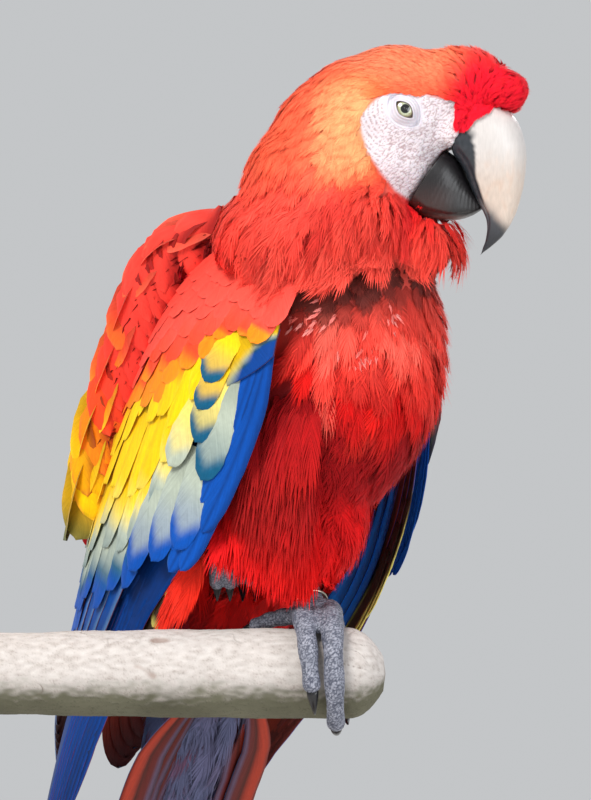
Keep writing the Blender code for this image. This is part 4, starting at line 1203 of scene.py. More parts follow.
def coat_zones(places):
    """Shares from 0 to 1 that single out the parts of the coat that differ from the rest."""
    head, body = world_to_head(places), world_to_body(places)
    hood, in_front = headness(places), smooth(body[:, 1], -0.016, 0.004)
    above = body[:, 2] - lookup(RUFF_LINE, body[:, 0])
    # fold: the lower part of the ruff, where painted shade falls between its locks
    fold = smooth(above, 0.003, 0.010) * (1 - smooth(above, 0.022, 0.042)) * in_front
    return SimpleNamespace(
        hood=hood,
        chest=(1 - hood) * smooth(body[:, 1], -0.010, 0.015),
        ruff=smooth(above, 0.007, 0.012) * (1 - smooth(above, 0.022, 0.036)) * in_front,
        # gap: the band just under the ruff's edge, which gets a painted shadow and shorter, flatter feathers
        gap=smooth(above, -0.017, -0.009) * (1 - smooth(above, 0.007, 0.011)) * in_front,
        fold=fold * (0.40 + 0.60 * smooth(body[:, 0], -0.002, 0.030)),
        tail=smooth(-body[:, 2], 0.150, 0.170),
        crown=smooth(head[:, 2], 0.024, 0.032) * hood,
        throat=smooth(head[:, 0], 0.000, 0.008) * smooth(-head[:, 2], 0.038, 0.043) * hood,
        brow=smooth(head[:, 0], 0.020, 0.030) * smooth(head[:, 2], -0.004, 0.004),
        high_left=smooth(-body[:, 0], 0.010, 0.026) * smooth(body[:, 2], 0.024, 0.040),
    )


def coat_form(places, zones, rng):
    """Each feather's length, half width, lift of its tip and turn from the coat's lie."""
    rows = table_at(COAT_TABLE, reach_from_bill(places))
    length = rows[:, 0] * (1 + 0.10 * rng.normal(0, 1, len(places)))
    half = rows[:, 0] * rows[:, 1]
    lift = rows[:, 2] * rng.uniform(0.7, 1.35, len(places))
    lift += 0.0072 * zones.ruff * (1 + 0.5 * rough(places, 60, 41))
    length *= 1 + zones.ruff * (0.12 + 0.55 * rough(places * (1, 1, 0.2), 95, 45))
    length *= 1 - 0.50 * zones.gap
    lift *= 1 - 0.75 * zones.gap
    length *= 1 + 0.45 * zones.tail
    lift *= 1 - 0.45 * zones.tail
    lift += 0.0005 * zones.crown
    lift += 0.0030 * zones.throat
    lift += 0.0016 * zones.brow
    length *= 1 + 0.35 * zones.brow
    turn = rng.normal(0, 0.16, len(places)) + 0.35 * zones.brow * rng.normal(0, 1, len(places))
    turn += zones.chest * (0.55 * rough(places, 38, 42) + rng.normal(0, 0.16, len(places)))
    lift += zones.chest * (0.0004 + 0.0022 * rough(places, 50, 43))
    lift += 0.0022 * zones.chest * zones.high_left
    return length, half, lift, turn


def coat_tints(places, paths, zones, rng):
    """Each feather's colours at its root and tip: the markings, with painted highlights and shade on the
    tufts, painted shadow in the gap under the ruff and painted shade in its folds.
    """
    up = world_to_body(places)[:, 2]
    base, end = markings(paths[:, 2]), markings(paths[:, -1])
    vary = rng.normal(0, 0.5, (len(places), 1))
    base = np.clip(base * (1 + (0.16 - 0.07 * zones.hood[:, None]) * vary), 0, 1)
    warm = np.clip(0.28 + 0.3 * vary[:, 0], 0, 1) * (end[:, 0] > 2 * end[:, 2])
    warm = warm * (1 - 0.85 * smooth(-up, -0.030, -0.010))
    tips = mix(end, mix(end, ORANGE_RED, 0.55), warm)
    tuft = rough(places, 62, 44)
    # painted highlights: pale pink patches on the tops of the tufts, high on the breast
    pale = 0.50 * (zones.chest * smooth(up, 0.022, 0.042)) * smooth(tuft, 0.00, 0.45)
    # painted shade low on the breast
    lower = 0.45 * zones.chest * (1 - smooth(up, 0.008, 0.030)) * smooth(up, -0.026, -0.010)
    # painted shade in the hollows between tufts, and low on the breast
    painted_shade_patches = np.maximum(0.40 * (1 - zones.hood) * smooth(-tuft, 0.05, 0.50), lower)
    fold = zones.fold * np.clip(0.60 + 1.1 * rough(places, 85, 46), 0, 1)
    for root_tint, tip_tint, share, tip_share in (
        (BREAST_HIGHLIGHT_PINK, BREAST_HIGHLIGHT_PINK, pale, pale),
        (DEEP_CRIMSON, DEEP_CRIMSON, painted_shade_patches, painted_shade_patches * 0.7),
        # painted shadow under the ruff's edge
        (RUFF_SHADOW_BROWN, RUFF_SHADOW_BROWN, 0.92 * zones.gap, 0.80 * zones.gap),
        # painted shade in the ruff's folds, between its locks
        (mix(CRIMSON, DEEP_CRIMSON, 0.5), CRIMSON, 0.85 * fold, 0.60 * fold),
    ):
        base, tips = mix(base, root_tint, share), mix(tips, tip_tint, tip_share)
    return base, tips


def make_body_coat(skin_mesh):
    """Contour feathers over the head, neck, body, thighs and the root of the tail."""
    rng = np.random.default_rng(7)
    tree = BVHTree.FromPolygons(
        [v.co for v in skin_mesh.vertices], [tuple(p.vertices) for p in skin_mesh.polygons]
    )
    places = coat_roots(skin_mesh, rng)
    zones = coat_zones(places)
    length, half, lift, turn = coat_form(places, zones, rng)
    paths, facings = follow(tree, places, length, turn)
    base, tips = coat_tints(places, paths, zones, rng)
    homes = unwrap_home(places)
    reach, body = reach_from_bill(places), world_to_body(places)
    past_head = reach >= HEAD_REACH
    on_body = past_head & (zones.hood <= 0.5)
    upper, in_front = body[:, 2] > -0.06, body[:, 1] > 0
    # Each piece of the coat: which feathers, barbs on each side of one, and what is added to it
    pieces = {
        "face_and_crown_feathers": (reach < FACE_REACH, 8, lambda coat: add_brow_hem(coat, skin_mesh)),
        "hindhead_feathers": ((reach >= FACE_REACH) & ~past_head, 14, None),
        "neck_feathers": (past_head & (zones.hood > 0.5), 21, lambda coat: add_locks(coat, tree)),
        "breast_feathers": (on_body & in_front & upper, 24, None),
        "mantle_feathers": (on_body & ~in_front & upper, 20, None),
        "belly_feathers": (on_body & ~upper, 18, lambda coat: add_drape(coat, tree)),
    }
    for number, (name, (chosen, barbs, add_more)) in enumerate(pieces.items()):
        coat = Coat(name)
        add_contour_feathers(
            coat, paths[chosen], facings[chosen], half[chosen], lift[chosen], base[chosen],
            tips[chosen], homes[chosen], barbs, 30 + number,
        )
        if add_more:
            add_more(coat)
        coat.make(plumage_material("soft_plumage", 0.70, 0.03), "red_plumage", soft=0.65)


# ---------------------------------------------------------------- wings


# By angle round the wing: where its red ends, and how wide the yellow below that is
RED_EDGE = (
    (-25, -0.050), (-10, -0.046), (0, -0.040), (6, -0.035), (12, -0.024), (20, -0.014), (32, 0.000),
    (45, 0.026), (90, 0.065),
)
YELLOW_WIDTH = (
    (-25, 0.003), (-14, 0.014), (-10, 0.040), (-3, 0.082), (3, 0.100), (12, 0.120), (22, 0.122),
    (38, 0.112), (60, 0.085), (90, 0.060),
)
# The colours down a wing, by share of the yellow's width below the end of the red
WING_RAMP = (
    (-0.50, mix(SCARLET, SALMON, 0.55)), (-0.12, mix(SCARLET, SALMON, 0.75)), (0.02, ORANGE_RED),
    (0.07, ORANGE), (0.13, YELLOW), (0.58, YELLOW), (0.70, LEMON), (0.80, PALE_GREEN),
    (0.88, mix(PALE_GREEN, TEAL, 0.45)), (0.95, TEAL), (1.03, BLUE), (2.2, BLUE), (4.0, DEEP_BLUE),
)
# Rows of yellow coverts: start and tip as shares of the yellow band, half width, spacing in
# degrees, and the last of the wing's colours that a feather may show
YELLOW_ROWS = (
    (-0.16, 0.36, 0.0086, 6.4, 0.62), (0.10, 0.60, 0.0088, 6.4, 0.90), (0.34, 0.84, 0.0084, 6.0, 1.10),
    (0.58, 1.06, 0.0078, 5.4, 1.30),
)
# Rows of blue coverts below them: distance below the band, feather length, half width
BLUE_ROWS = ((-0.030, 0.046, 0.0084), (-0.010, 0.050, 0.0086))
# Big coverts near the wing's front edge: distance down and angle of the tip, length, and two colours
FRONT_COVERTS = (
    (0.030, -12, 0.050, PALE_GREEN, TEAL), (0.066, -11, 0.056, PALE_GREEN, BLUE),
    (0.078, -4, 0.058, PALE_GREEN, BLUE), (0.090, 4, 0.058, PALE_GREEN, BLUE),
    (0.016, -6, 0.042, LEMON, TEAL), (0.002, -3, 0.036, YELLOW, TEAL),
    (-0.011, -2, 0.032, YELLOW, TEAL), (0.034, 1, 0.044, LEMON, PALE_GREEN),
)
# Long coverts of the leading edge: first and last distance down, degrees in from the edge
EDGE_COVERTS = (
    (-0.042, 0.052, 4.5), (-0.046, 0.040, 9.0), (-0.040, 0.064, 7.0), (-0.030, 0.046, 13.0),
    (-0.022, 0.074, 5.5), (-0.020, 0.068, 11.5), (-0.008, 0.078, 9.0),
)
# Feathers inside the wing's front edge: first and last distance down, degrees in, depth
INNER_BLUE = ((0.030, 0.150, 8.0, 0.0125), (0.036, 0.170, 12.0, 0.0130), (0.050, 0.190, 16.0, 0.0134))
INNER_DARK = (
    (0.010, 0.062, 1.0, 0.0100), (0.020, 0.078, 0.0, 0.0104), (0.034, 0.096, -0.5, 0.0108),
    (0.046, 0.112, 0.5, 0.0112), (0.060, 0.124, 2.0, 0.0116),
)


def wing_points(down, angle, inset, side):
    """Points on the oval of the right or left wing, or inside it, in the world."""
    oval = table_at(WING_OVAL, down)
    turn = np.radians(angle)
    across = (oval[..., 0] - inset) * np.cos(turn) * SIGN[side]
    back = (oval[..., 1] - inset) * np.sin(turn)
    return body_to_world(np.stack((across, -back, -down), -1))


def on_wing(side, downs, angles, insets):
    """Paths at places on a wing's oval, and the oval's outward normals there."""
    paths = wing_points(downs, angles, insets, side)
    return paths, unit(wing_points(downs, angles, insets - 0.002, side) - paths)


def wing_paths(side, down, angle, length, drift, root_inset, tip_inset):
    """Paths of feathers down the folded wing, and normals square to them."""
    s = np.linspace(0, 1, PATH_STATIONS)[None]
    downs = down[:, None] + column(length, len(down)) * s
    angles = angle[:, None] + column(drift, len(down)) * s
    insets = column(root_inset, len(down)) + column(tip_inset - root_inset, len(down)) * s**0.8
    paths, normals = on_wing(side, downs, angles, insets)
    along = np.gradient(paths, axis=1)
    share = (normals * along).sum(-1) / (along * along).sum(-1)
    return paths, unit(normals - along * share[..., None])


def side_rng(side, seed):
    """Random numbers that differ from one side to the other."""
    return np.random.default_rng(seed + (side == "l"))


def red_edge(angle):
    """How far down the red lesser coverts reach at each angle round the wing."""
    return lookup(RED_EDGE, np.clip(angle, -25, 90))


def yellow_width(angle):
    """How wide the yellow below the red is at each angle."""
    return lookup(YELLOW_WIDTH, np.clip(angle, -25, 90))


def wing_colour(down, angle, last=9.0):
    """The wing's bands by place: red, yellow, green and blue, and none that come after the last.

    Towards the front edge the yellow gives way to green and blue sooner."""
    share = (down - red_edge(angle)) / yellow_width(angle)
    power = 0.60 + 0.40 * smooth(angle, 0, 12)
    share = np.where(share > 0, np.abs(share) ** power, share)
    return ramp(WING_RAMP, np.minimum(share, last))


def wing_home(side, down, angle):
    """A feather's place on an unwrap of both wings."""
    u = 0.03 + 0.42 * (np.asarray(angle) + 30) / 130 + (0.0 if side == "r" else 0.5)
    v = 0.04 + 0.90 * (np.asarray(down) + 0.08) / 0.30
    return np.clip(np.stack((u, v), -1), 0.004, 0.99)


def staggered(side, start, end, row_step, angle_step, rng):
    """Roots in offset rows between two edges of a wing, as distances down and angles."""
    downs, angles = [], []
    for number, down in enumerate(np.arange(start, end, row_step)):
        low, high = lookup(LEADING_EDGE[side], down) + 2, lookup(TRAILING_EDGE, down) - 1
        row = np.arange(low + (number % 2) * angle_step / 2, high, angle_step)
        downs.append(np.full(len(row), down))
        angles.append(row)
    downs, angles = np.concatenate(downs), np.concatenate(angles)
    downs = downs + rng.normal(0, 0.10 * row_step, len(downs))
    return downs, angles + rng.normal(0, 0.08 * angle_step, len(angles))


def covert_tint(down, angle, length, rng, reach, last):
    """Tints of wing coverts: each is coloured by its place, with a shifted tip and a faint rim."""
    bright = rng.uniform(0.93, 1.06, (len(down), 1))

    def tints(a, x):
        share = 0.45 + (reach - 0.45) * smooth(a, 0.50, 0.97)
        colour = wing_colour(down[:, None] + share * length[:, None], angle[:, None], last)
        rim = np.maximum(smooth(np.abs(x), 0.70, 1.0) * smooth(a, 0.3, 0.6), smooth(a, 0.93, 1.0))
        colour = mix(colour, np.clip(colour * 1.25 + 0.03, 0, 1), 0.40 * rim)
        shaft = 1 - 0.12 * smooth(-np.abs(x), -0.20, 0.0)
        # painted shade: darker towards the root, under the feather above
        shade = (0.70 + 0.30 * smooth(a, 0.10, 0.50)) * shaft
        return colour * (shade * bright)[..., None]

    return tints


def add_covert_row(coat, side, down, angle, length, half, insets, drift, rng, seed, reach=1.2, last=9.0):
    """Coverts with roots at distances down and angles, tinted up to the last of the wing's colours."""
    count = len(down)
    if not count:
        return
    length = length * rng.uniform(0.92, 1.08, count)
    paths, normals = wing_paths(
        side, down, angle, length, drift + rng.normal(0, 1.2, count),
        insets[0] + rng.uniform(-0.0002, 0.0002, count), insets[1] + rng.uniform(-0.0005, 0.0003, count),
    )
    add_blades(
        coat, "covert", paths, normals, half * rng.uniform(0.93, 1.07, count),
        covert_tint(down, angle, length, rng, reach, last), wing_home(side, down, angle), seed,
    )


def front_tints(upper, tip):
    """A big covert: one colour down to its middle, then a paler blend and a coloured tip."""

    def tints(a, x):
        edge = 0.80 + 0.06 * np.cos(3 * x)
        colour = mix(upper + 0 * a[..., None], mix(upper, tip, 0.35), smooth(a, 0.35, 0.72))
        colour = mix(colour, tip, smooth(a, edge - 0.12, edge + 0.06))
        # painted shade: darker towards the root, under the feather above
        return colour * (0.72 + 0.28 * smooth(a, 0.10, 0.40))[..., None]

    return tints


def make_lesser_coverts(side, rng):
    """Small red coverts down to the red's edge, which stand for the wing's coverts node."""
    coat = Coat(f"wing_{side}_lesser_coverts")
    down, angle = staggered(side, -0.070, 0.066, 0.0094, 7.0, rng)
    lowest = red_edge(angle) + 0.002 - 0.014 * smooth(-angle, -10, 2)
    keep = (down < lowest) & (down > lookup(WING_TOP, (angle + 25) / 100) - 0.010)
    down, angle = down[keep], angle[keep]
    size = 0.0235 + 0.0055 * smooth(down, -0.06, 0.0)
    insets = (0.0034, 0.0002)
    add_covert_row(coat, side, down, angle, size, size * 0.315, insets, -0.8, rng, 1, 0.75, 0.06)
    coat.make(sleek_plumage(), "wing_plumage", f"wing_{side}_coverts", soft=0.35)


def add_banded_coverts(coat, side, rng):
    """Rows of coverts that follow the yellow band, and blue ones below it."""
    for step, (start, tip, half, spacing, last) in enumerate(YELLOW_ROWS):
        first = 3 + 1.5 * step
        spots = np.arange(first + spacing / 2 * (step % 2), 84, spacing)
        down = red_edge(spots) + start * yellow_width(spots) + rng.normal(0, 0.0020, len(spots))
        in_wing = spots > lookup(LEADING_EDGE[side], down) + 5
        spots, down = spots[in_wing], down[in_wing]
        length = np.maximum((tip - start) * yellow_width(spots), 0.028)
        insets = (0.0038 + 0.0004 * step, 0.0004 + 0.0004 * step)
        add_covert_row(coat, side, down, spots, length, half, insets, -1.5, rng, 20 + step, 1.0, last)
    for step, (offset, size, half) in enumerate(BLUE_ROWS):
        spots = np.arange(-4 + 2.8 * (step % 2), 80, 5.6)
        down = red_edge(spots) + yellow_width(spots) + offset + rng.normal(0, 0.0020, len(spots))
        keep = down < lookup(COVERTS_END, np.clip((spots + 20) / 100, 0, 1)) + 0.004
        down, spots = down[keep], spots[keep]
        add_covert_row(coat, side, down, spots, size, half, (0.0052, 0.0022), -2.0, rng, 30 + step)


def add_front_coverts(coat, side):
    """The big coverts near the wing's front edge, each laid over the one before."""
    for number, (end, spot, size, upper, tip) in enumerate(FRONT_COVERTS):
        down, spots = np.array((end - size,)), np.array((spot + 1.5,))
        paths, normals = wing_paths(side, down, spots, size, -1.5, 0.0034, -0.0002 - 0.0001 * number)
        add_blades(
            coat, "front_covert", paths, normals, 0.0088, front_tints(upper, tip),
            wing_home(side, down, spots), 60 + number,
        )


def edge_line(side, start, end, inward, stations):
    """Distances down and angles of feathers that run along a wing's leading edge."""
    downs = start[:, None] + (end - start)[:, None] * np.linspace(0, 1, stations)[None]
    return downs, lookup(LEADING_EDGE[side], downs) + inward[:, None]


def add_edge_coverts(coat, side, rng):
    """Long blue coverts along the leading edge, with a bright blue and lemon under side."""
    start, end, inward = np.array(EDGE_COVERTS).T
    downs, angles = edge_line(side, start, end, inward, 12)
    paths, normals = on_wing(side, downs, angles, 0.0046 - 0.0030 * np.linspace(0, 1, 12)[None])
    sign = SIGN[side]
    bright = rng.uniform(0.88, 1.1, (len(start), 1))

    def over(a, x):
        colour = mix(mix(BLUE, DEEP_BLUE, 0.2), BLUE, smooth(a, 0.2, 0.7)) + 0 * x[..., None]
        colour = mix(colour, DEEP_BLUE, 0.65 * smooth(-x * sign, 0.45, 0.95))
        colour = mix(colour, DEEP_BLUE, 0.45 * smooth(-np.abs(x), -0.10, 0.0))
        colour = mix(colour, mix(BLUE, SKY_BLUE, 0.6), 0.6 * smooth(x * sign, 0.84, 1.0))
        if side == "l":
            colour = mix(colour, YELLOW, smooth(x * sign, 0.3, 0.9) * (1 - smooth(a, 0.40, 0.62)))
        return colour * bright[..., None]

    def lining(a, x):
        colour = mix(LINING_BLUE, BLUE, smooth(np.abs(x), 0.5, 1.0)) * (0.9 + 0.1 * np.cos(9 * a))[..., None]
        return mix(colour, LEMON, smooth(x * sign, 0.55, 0.9) * (1 - smooth(a, 0.45, 0.70)))

    add_blades(
        coat, "edge_covert", paths, normals, 0.0060, over, wing_home(side, start, angles[:, 0]), 44,
        under=lining,
    )


def make_wing_coverts(side):
    """Lesser, median, greater and primary coverts, from the shoulder down."""
    rng = side_rng(side, 11)
    make_lesser_coverts(side, rng)
    coat = Coat(f"wing_{side}_yellow_coverts")
    add_banded_coverts(coat, side, rng)
    add_front_coverts(coat, side)
    add_edge_coverts(coat, side, rng)
    coat.make(sleek_plumage(), "wing_plumage", soft=0.35)


def inner_blue_tints(_, x):
    """Bright blue along the shaft, darker at the edges."""
    colour = mix(LINING_BLUE, mix(LINING_BLUE, BLUE, 0.5), smooth(np.abs(x), 0.2, 0.8))
    return mix(colour, DEEP_BLUE, smooth(np.abs(x), 0.84, 1.0))


def inner_dark_tints(a, x):
    """Nearly black vanes with a yellow-green rim along the edge and tip."""
    rim = np.maximum(smooth(np.abs(x), 0.60, 0.86), smooth(a, 0.90, 0.99)) * smooth(a, 0.25, 0.6)
    return mix(INNER_BLACK + 0 * a[..., None], INNER_RIM, 0.9 * rim)


def make_inner_feathers(side):
    """Blue outer quills seen from inside the folded wing, and dark ones with yellow-green rims."""
    rng = side_rng(side, 17)
    coat = Coat(f"wing_{side}_inner_feathers")
    for rows, tints in ((INNER_BLUE, inner_blue_tints), (INNER_DARK, inner_dark_tints)):
        start, end, inward, inset = np.array(rows).T
        downs, angles = edge_line(side, start, end, inward, 14)
        angles = angles + (10.0 if side == "r" else 0.0)
        paths, normals = on_wing(side, downs, angles, inset[:, None])
        add_blades(
            coat, "inner", paths, normals, 0.0052 * rng.uniform(0.9, 1.1, len(start)), tints,
            wing_home(side, start, angles[:, 0]), 47, under=tints,
        )
    coat.make(quill_plumage(), "blue_plumage")


def quill_tints(side, base, edge, tip, rng, count):
    """Blue vanes, darker along the inner web and the shaft, with a thin pale outer rim."""
    bright = rng.uniform(0.85, 1.1, (count, 1))
    sign = SIGN[side]

    def tints(a, x):
        colour = mix(base, tip, smooth(a, 0.55, 1.0))
        colour = mix(colour, edge, 0.8 * smooth(-x * sign, 0.80, 0.98))
        colour = mix(colour, DEEP_BLUE * 0.25, 0.75 * smooth(x * sign, 0.05, 0.75))
        return colour * (bright * (0.9 + 0.1 * np.cos(6 * a)))[..., None]

    return tints


def under_tints(a, x):
    """The under side of flight feathers: dark brick with a darker outer web."""
    colour = mix(UNDER_BRICK, UNDER_WEB, smooth(x, -0.3, 0.7))
    return mix(colour, UNDER_TIP, smooth(a, 0.80, 1.0))


def quill_homes(count, first, step, row):
    """Places for wide patches side by side in one row of the unwrap."""
    return np.stack((first + step * np.arange(count), np.full(count, row)), -1)


def make_quills(side):
    """The long flight feathers: ten primaries fanned under eleven secondaries."""
    rng = side_rng(side, 15)
    coat = Coat(f"wing_{side}_flight_feathers")
    s = np.linspace(0, 1, 12)[None]
    v = np.linspace(0.03, 0.97, PRIMARIES)[:, None]
    start = -0.045 + 0.060 * v
    end = 0.3465 - 0.050 * v**0.8 - 0.120 * np.maximum(0.62 - v, 0) / 0.62
    downs = start + (end - start) * s
    first, last = lookup(LEADING_EDGE[side], downs), lookup(PRIMARIES_EDGE, downs)
    inward = 8.5 + lookup(PRIMARIES_DRAWN_IN, downs) if side == "r" else 2.5
    angles = first + inward + (last - first - inward) * (0.01 + 0.90 * v)
    insets = lookup(PRIMARIES_INSET, downs) + 0.0001 + 0.0007 * (1 - v)
    paths, normals = on_wing(side, downs, angles, insets)
    tints = quill_tints(side, mix(BLUE, DEEP_BLUE, 0.60), BLUE, DEEP_BLUE * 0.7, rng, PRIMARIES)
    add_blades(
        coat, "primary", paths, normals, 0.0098, tints, quill_homes(PRIMARIES, 0.06, 0.085, 0.2), 3,
        under=under_tints, patch=(0.060, 0.20),
    )
    v = np.linspace(0.02, 0.98, SECONDARIES)[:, None]
    start, end = 0.020 + 0.060 * v, lookup(SECONDARIES_END, v) + 0.003
    downs = start + (end - start) * s
    first, last = lookup(PRIMARIES_EDGE, downs) - 7, lookup(TRAILING_EDGE, downs)
    angles = first + (last - first) * (0.02 + 0.92 * v)
    insets = lookup(SECONDARIES_INSET, downs) + 0.0001 + 0.0006 * v
    paths, normals = on_wing(side, downs, angles, insets)
    pale_rim = mix(SKY_BLUE, PALE_GREEN, 0.25)
    tints = quill_tints(side, mix(BLUE, TEAL, 0.12), pale_rim, DEEP_BLUE, rng, SECONDARIES)
    add_blades(
        coat, "secondary", paths, normals, 0.0115, tints, quill_homes(SECONDARIES, 0.05, 0.080, 0.62), 4,
        under=under_tints, patch=(0.056, 0.20),
    )
    replaced = f"wing_{side}_primaries", f"wing_{side}_secondaries"
    coat.make(quill_plumage(), "blue_plumage", *replaced)


def shell_grid(rows, columns):
    """Shares down and across a closed shell, and its quads without the end walls."""
    shares = np.meshgrid(np.linspace(0, 1, rows), np.linspace(0, 1, columns), indexing="ij")
    return *shares, grid_quads(rows, columns * 2, closed=True)


def doubled(values):
    """A shell's values for its top, then for its under side in the opposite order."""
    return np.concatenate((values, values[:, ::-1]), 1)


def make_wing_lining(side):
    """A closed thin shell under the coverts, so that no gap shows through them."""
    rows, columns = 40, 40
    u, v, quads = shell_grid(rows, columns)
    start, end = lookup(WING_TOP, v) + 0.004, lookup(COVERTS_END, v) - 0.006
    down = start + (end - start) * u
    first, last = lookup(LEADING_EDGE[side], down) + 1.5, lookup(TRAILING_EDGE, down) - 1.5
    angle = first + (last - first) * v
    top = wing_points(down, angle, 0.0026, side)
    low = wing_points(down, angle, np.maximum(lookup(COVERT_THICKNESS, down) - 0.0002, 0.0030), side)
    points = np.concatenate((top, low[:, ::-1]), 1).reshape(-1, 3)
    k = np.arange(columns - 1)
    walls = [
        base + np.stack((k, k + 1, columns * 2 - k - 2, columns * 2 - k - 1), -1)
        for base in (0, (rows - 1) * columns * 2)
    ]
    mesh = mesh_from(f"wing_{side}_lining", points, np.concatenate((quads, *walls)))
    # painted shade: the lining takes the wing's colours at 0.6, as in the shade under the coverts
    tint = wing_colour(down, angle) * 0.6
    both = np.concatenate((tint, np.broadcast_to(LINING_BROWN, tint.shape)), 1)
    set_tint(mesh, both.reshape(-1, 3))
    grain = np.stack((down * 40, angle * 0.05, angle * 0), -1)
    set_grain(mesh, np.concatenate((grain, grain), 1).reshape(-1, 3))
    finish_piece(new_object(mesh.name, mesh), sleek_plumage(), "wing_plumage")


def lobe_points(side, down, v):
    """Points over the shoulder's shield of feathers, from its front foot (0) over to its back (1)."""
    low, high = SCAPULAR_ANGLES
    front = np.clip(v / LOBE_FRONT, 0, 1)
    back = np.clip((v - LOBE_FRONT) / (1 - LOBE_FRONT), 0, 1)
    angle = low - 1.5 + 4.5 * front**1.5 + (high - low - 3) * back
    rise = lookup(SCAPULAR_RISE, down) * np.sin(front * pi / 2) ** 0.9 * (1 - 0.65 * back)
    return wing_points(down, angle, 0.0016 - rise, side)


def lobe_paths(side, down, v, length, drift, root_sink, tip_sink):
    """Paths down the shield, sunk below its surface at the root, and their outward normals."""
    s = np.linspace(0, 1, PATH_STATIONS)[None]
    count = len(down)
    downs = down[:, None] + length[:, None] * s
    places = np.clip(v[:, None] + column(drift, count) * s, -0.04, 1.04)
    paths = lobe_points(side, downs, places)
    across = lobe_points(side, downs, places + 0.02) - lobe_points(side, downs, places - 0.02)
    along = lobe_points(side, downs + 0.002, places) - lobe_points(side, downs - 0.002, places)
    normals = unit(np.cross(along, across) * SIGN[side])
    if ((paths - CHEST) * normals).sum(-1).mean() < 0:
        normals = -normals
    sink = column(root_sink, count) + column(tip_sink - root_sink, count) * s**0.7
    return paths - normals * sink[..., None], normals


SCAPULAR_RAMP = (
    (-0.06, mix(ORANGE_RED, SALMON, 0.5)), (-0.01, mix(ORANGE_RED, SALMON, 0.2)),
    (0.010, mix(ORANGE_RED, ORANGE, 0.45)), (0.026, mix(ORANGE, YELLOW, 0.6)),
    (0.050, mix(YELLOW, MUSTARD, 0.3)), (0.075, MUSTARD),
)
SCAPULAR_TIP_RAMP = (
    (-0.06, mix(ORANGE_RED, SALMON, 0.7)), (-0.02, mix(ORANGE_RED, ORANGE, 0.4)), (0.005, ORANGE),
    (0.022, YELLOW), (0.045, mix(YELLOW, MUSTARD, 0.6)), (0.062, mix(MUSTARD, GREEN, 0.85)),
)
SHOULDER_FRONT_RAMP = (
    (-0.06, mix(SCARLET, SALMON, 0.5)), (-0.01, mix(SCARLET, SALMON, 0.4)), (0.015, ORANGE_RED),
    (0.035, ORANGE), (0.055, YELLOW),
)


def vane_rim(a, x):
    """1 along the edges and the tip of a shoulder feather."""
    return np.maximum(smooth(np.abs(x), 0.72, 1.0), smooth(a, 0.92, 1.0))


def scapular_tint(down, v, rng):
    """Shoulder feathers: orange red above, then orange yellow, mustard and a green tip."""
    over_back = smooth(v, 0.62, 0.90)
    here = mix(ramp(SCAPULAR_RAMP, down), mix(SCARLET, CRIMSON, 0.3), over_back)
    tip = mix(ramp(SCAPULAR_TIP_RAMP, down), SCARLET, over_back)
    bright = rng.uniform(0.90, 1.08, (len(down), 1))

    def tints(a, x):
        colour = mix(here[:, None], tip[:, None], smooth(a, 0.55, 0.95))
        colour = mix(colour, np.clip(colour * 1.3 + 0.03, 0, 1), 0.5 * vane_rim(a, x))
        # painted shade: darker towards the root, where the feathers overlap
        return colour * (bright * (0.60 + 0.40 * smooth(a, 0.30, 0.85)))[..., None]

    return tints


def shoulder_front_tint(down, rng):
    """Front edge of the shoulder: scarlet above, orange and then yellow below."""
    here = ramp(SHOULDER_FRONT_RAMP, down)
    bright = rng.uniform(0.88, 1.05, (len(down), 1))

    def tints(a, x):
        colour = mix(here[:, None] + 0 * a[..., None], SALMON, 0.35 * vane_rim(a, x))
        # painted shade: one half of each vane turns deep crimson
        colour = mix(colour, DEEP_CRIMSON, 0.75 * smooth(-x, 0.0, 0.8))
        # painted shade towards the root as well
        return colour * (bright * (0.66 + 0.34 * smooth(a, 0.10, 0.50)))[..., None]

    return tints


def curled_tints(a, x):
    """The tight curls at the shoulder's front: painted shade makes them nearly black red, and a painted
    highlight lights them along one edge.
    """
    dark, lit = mix(MAROON, DEEP_CRIMSON, 0.7), mix(CRIMSON, ROSE, 0.6)
    colour = mix(dark, lit, smooth(x, 0.0, 0.9) * smooth(a, 0.1, 0.6))
    # painted shade, deeper towards the root
    return colour * (0.6 + 0.4 * smooth(a, 0.1, 0.6))[..., None]


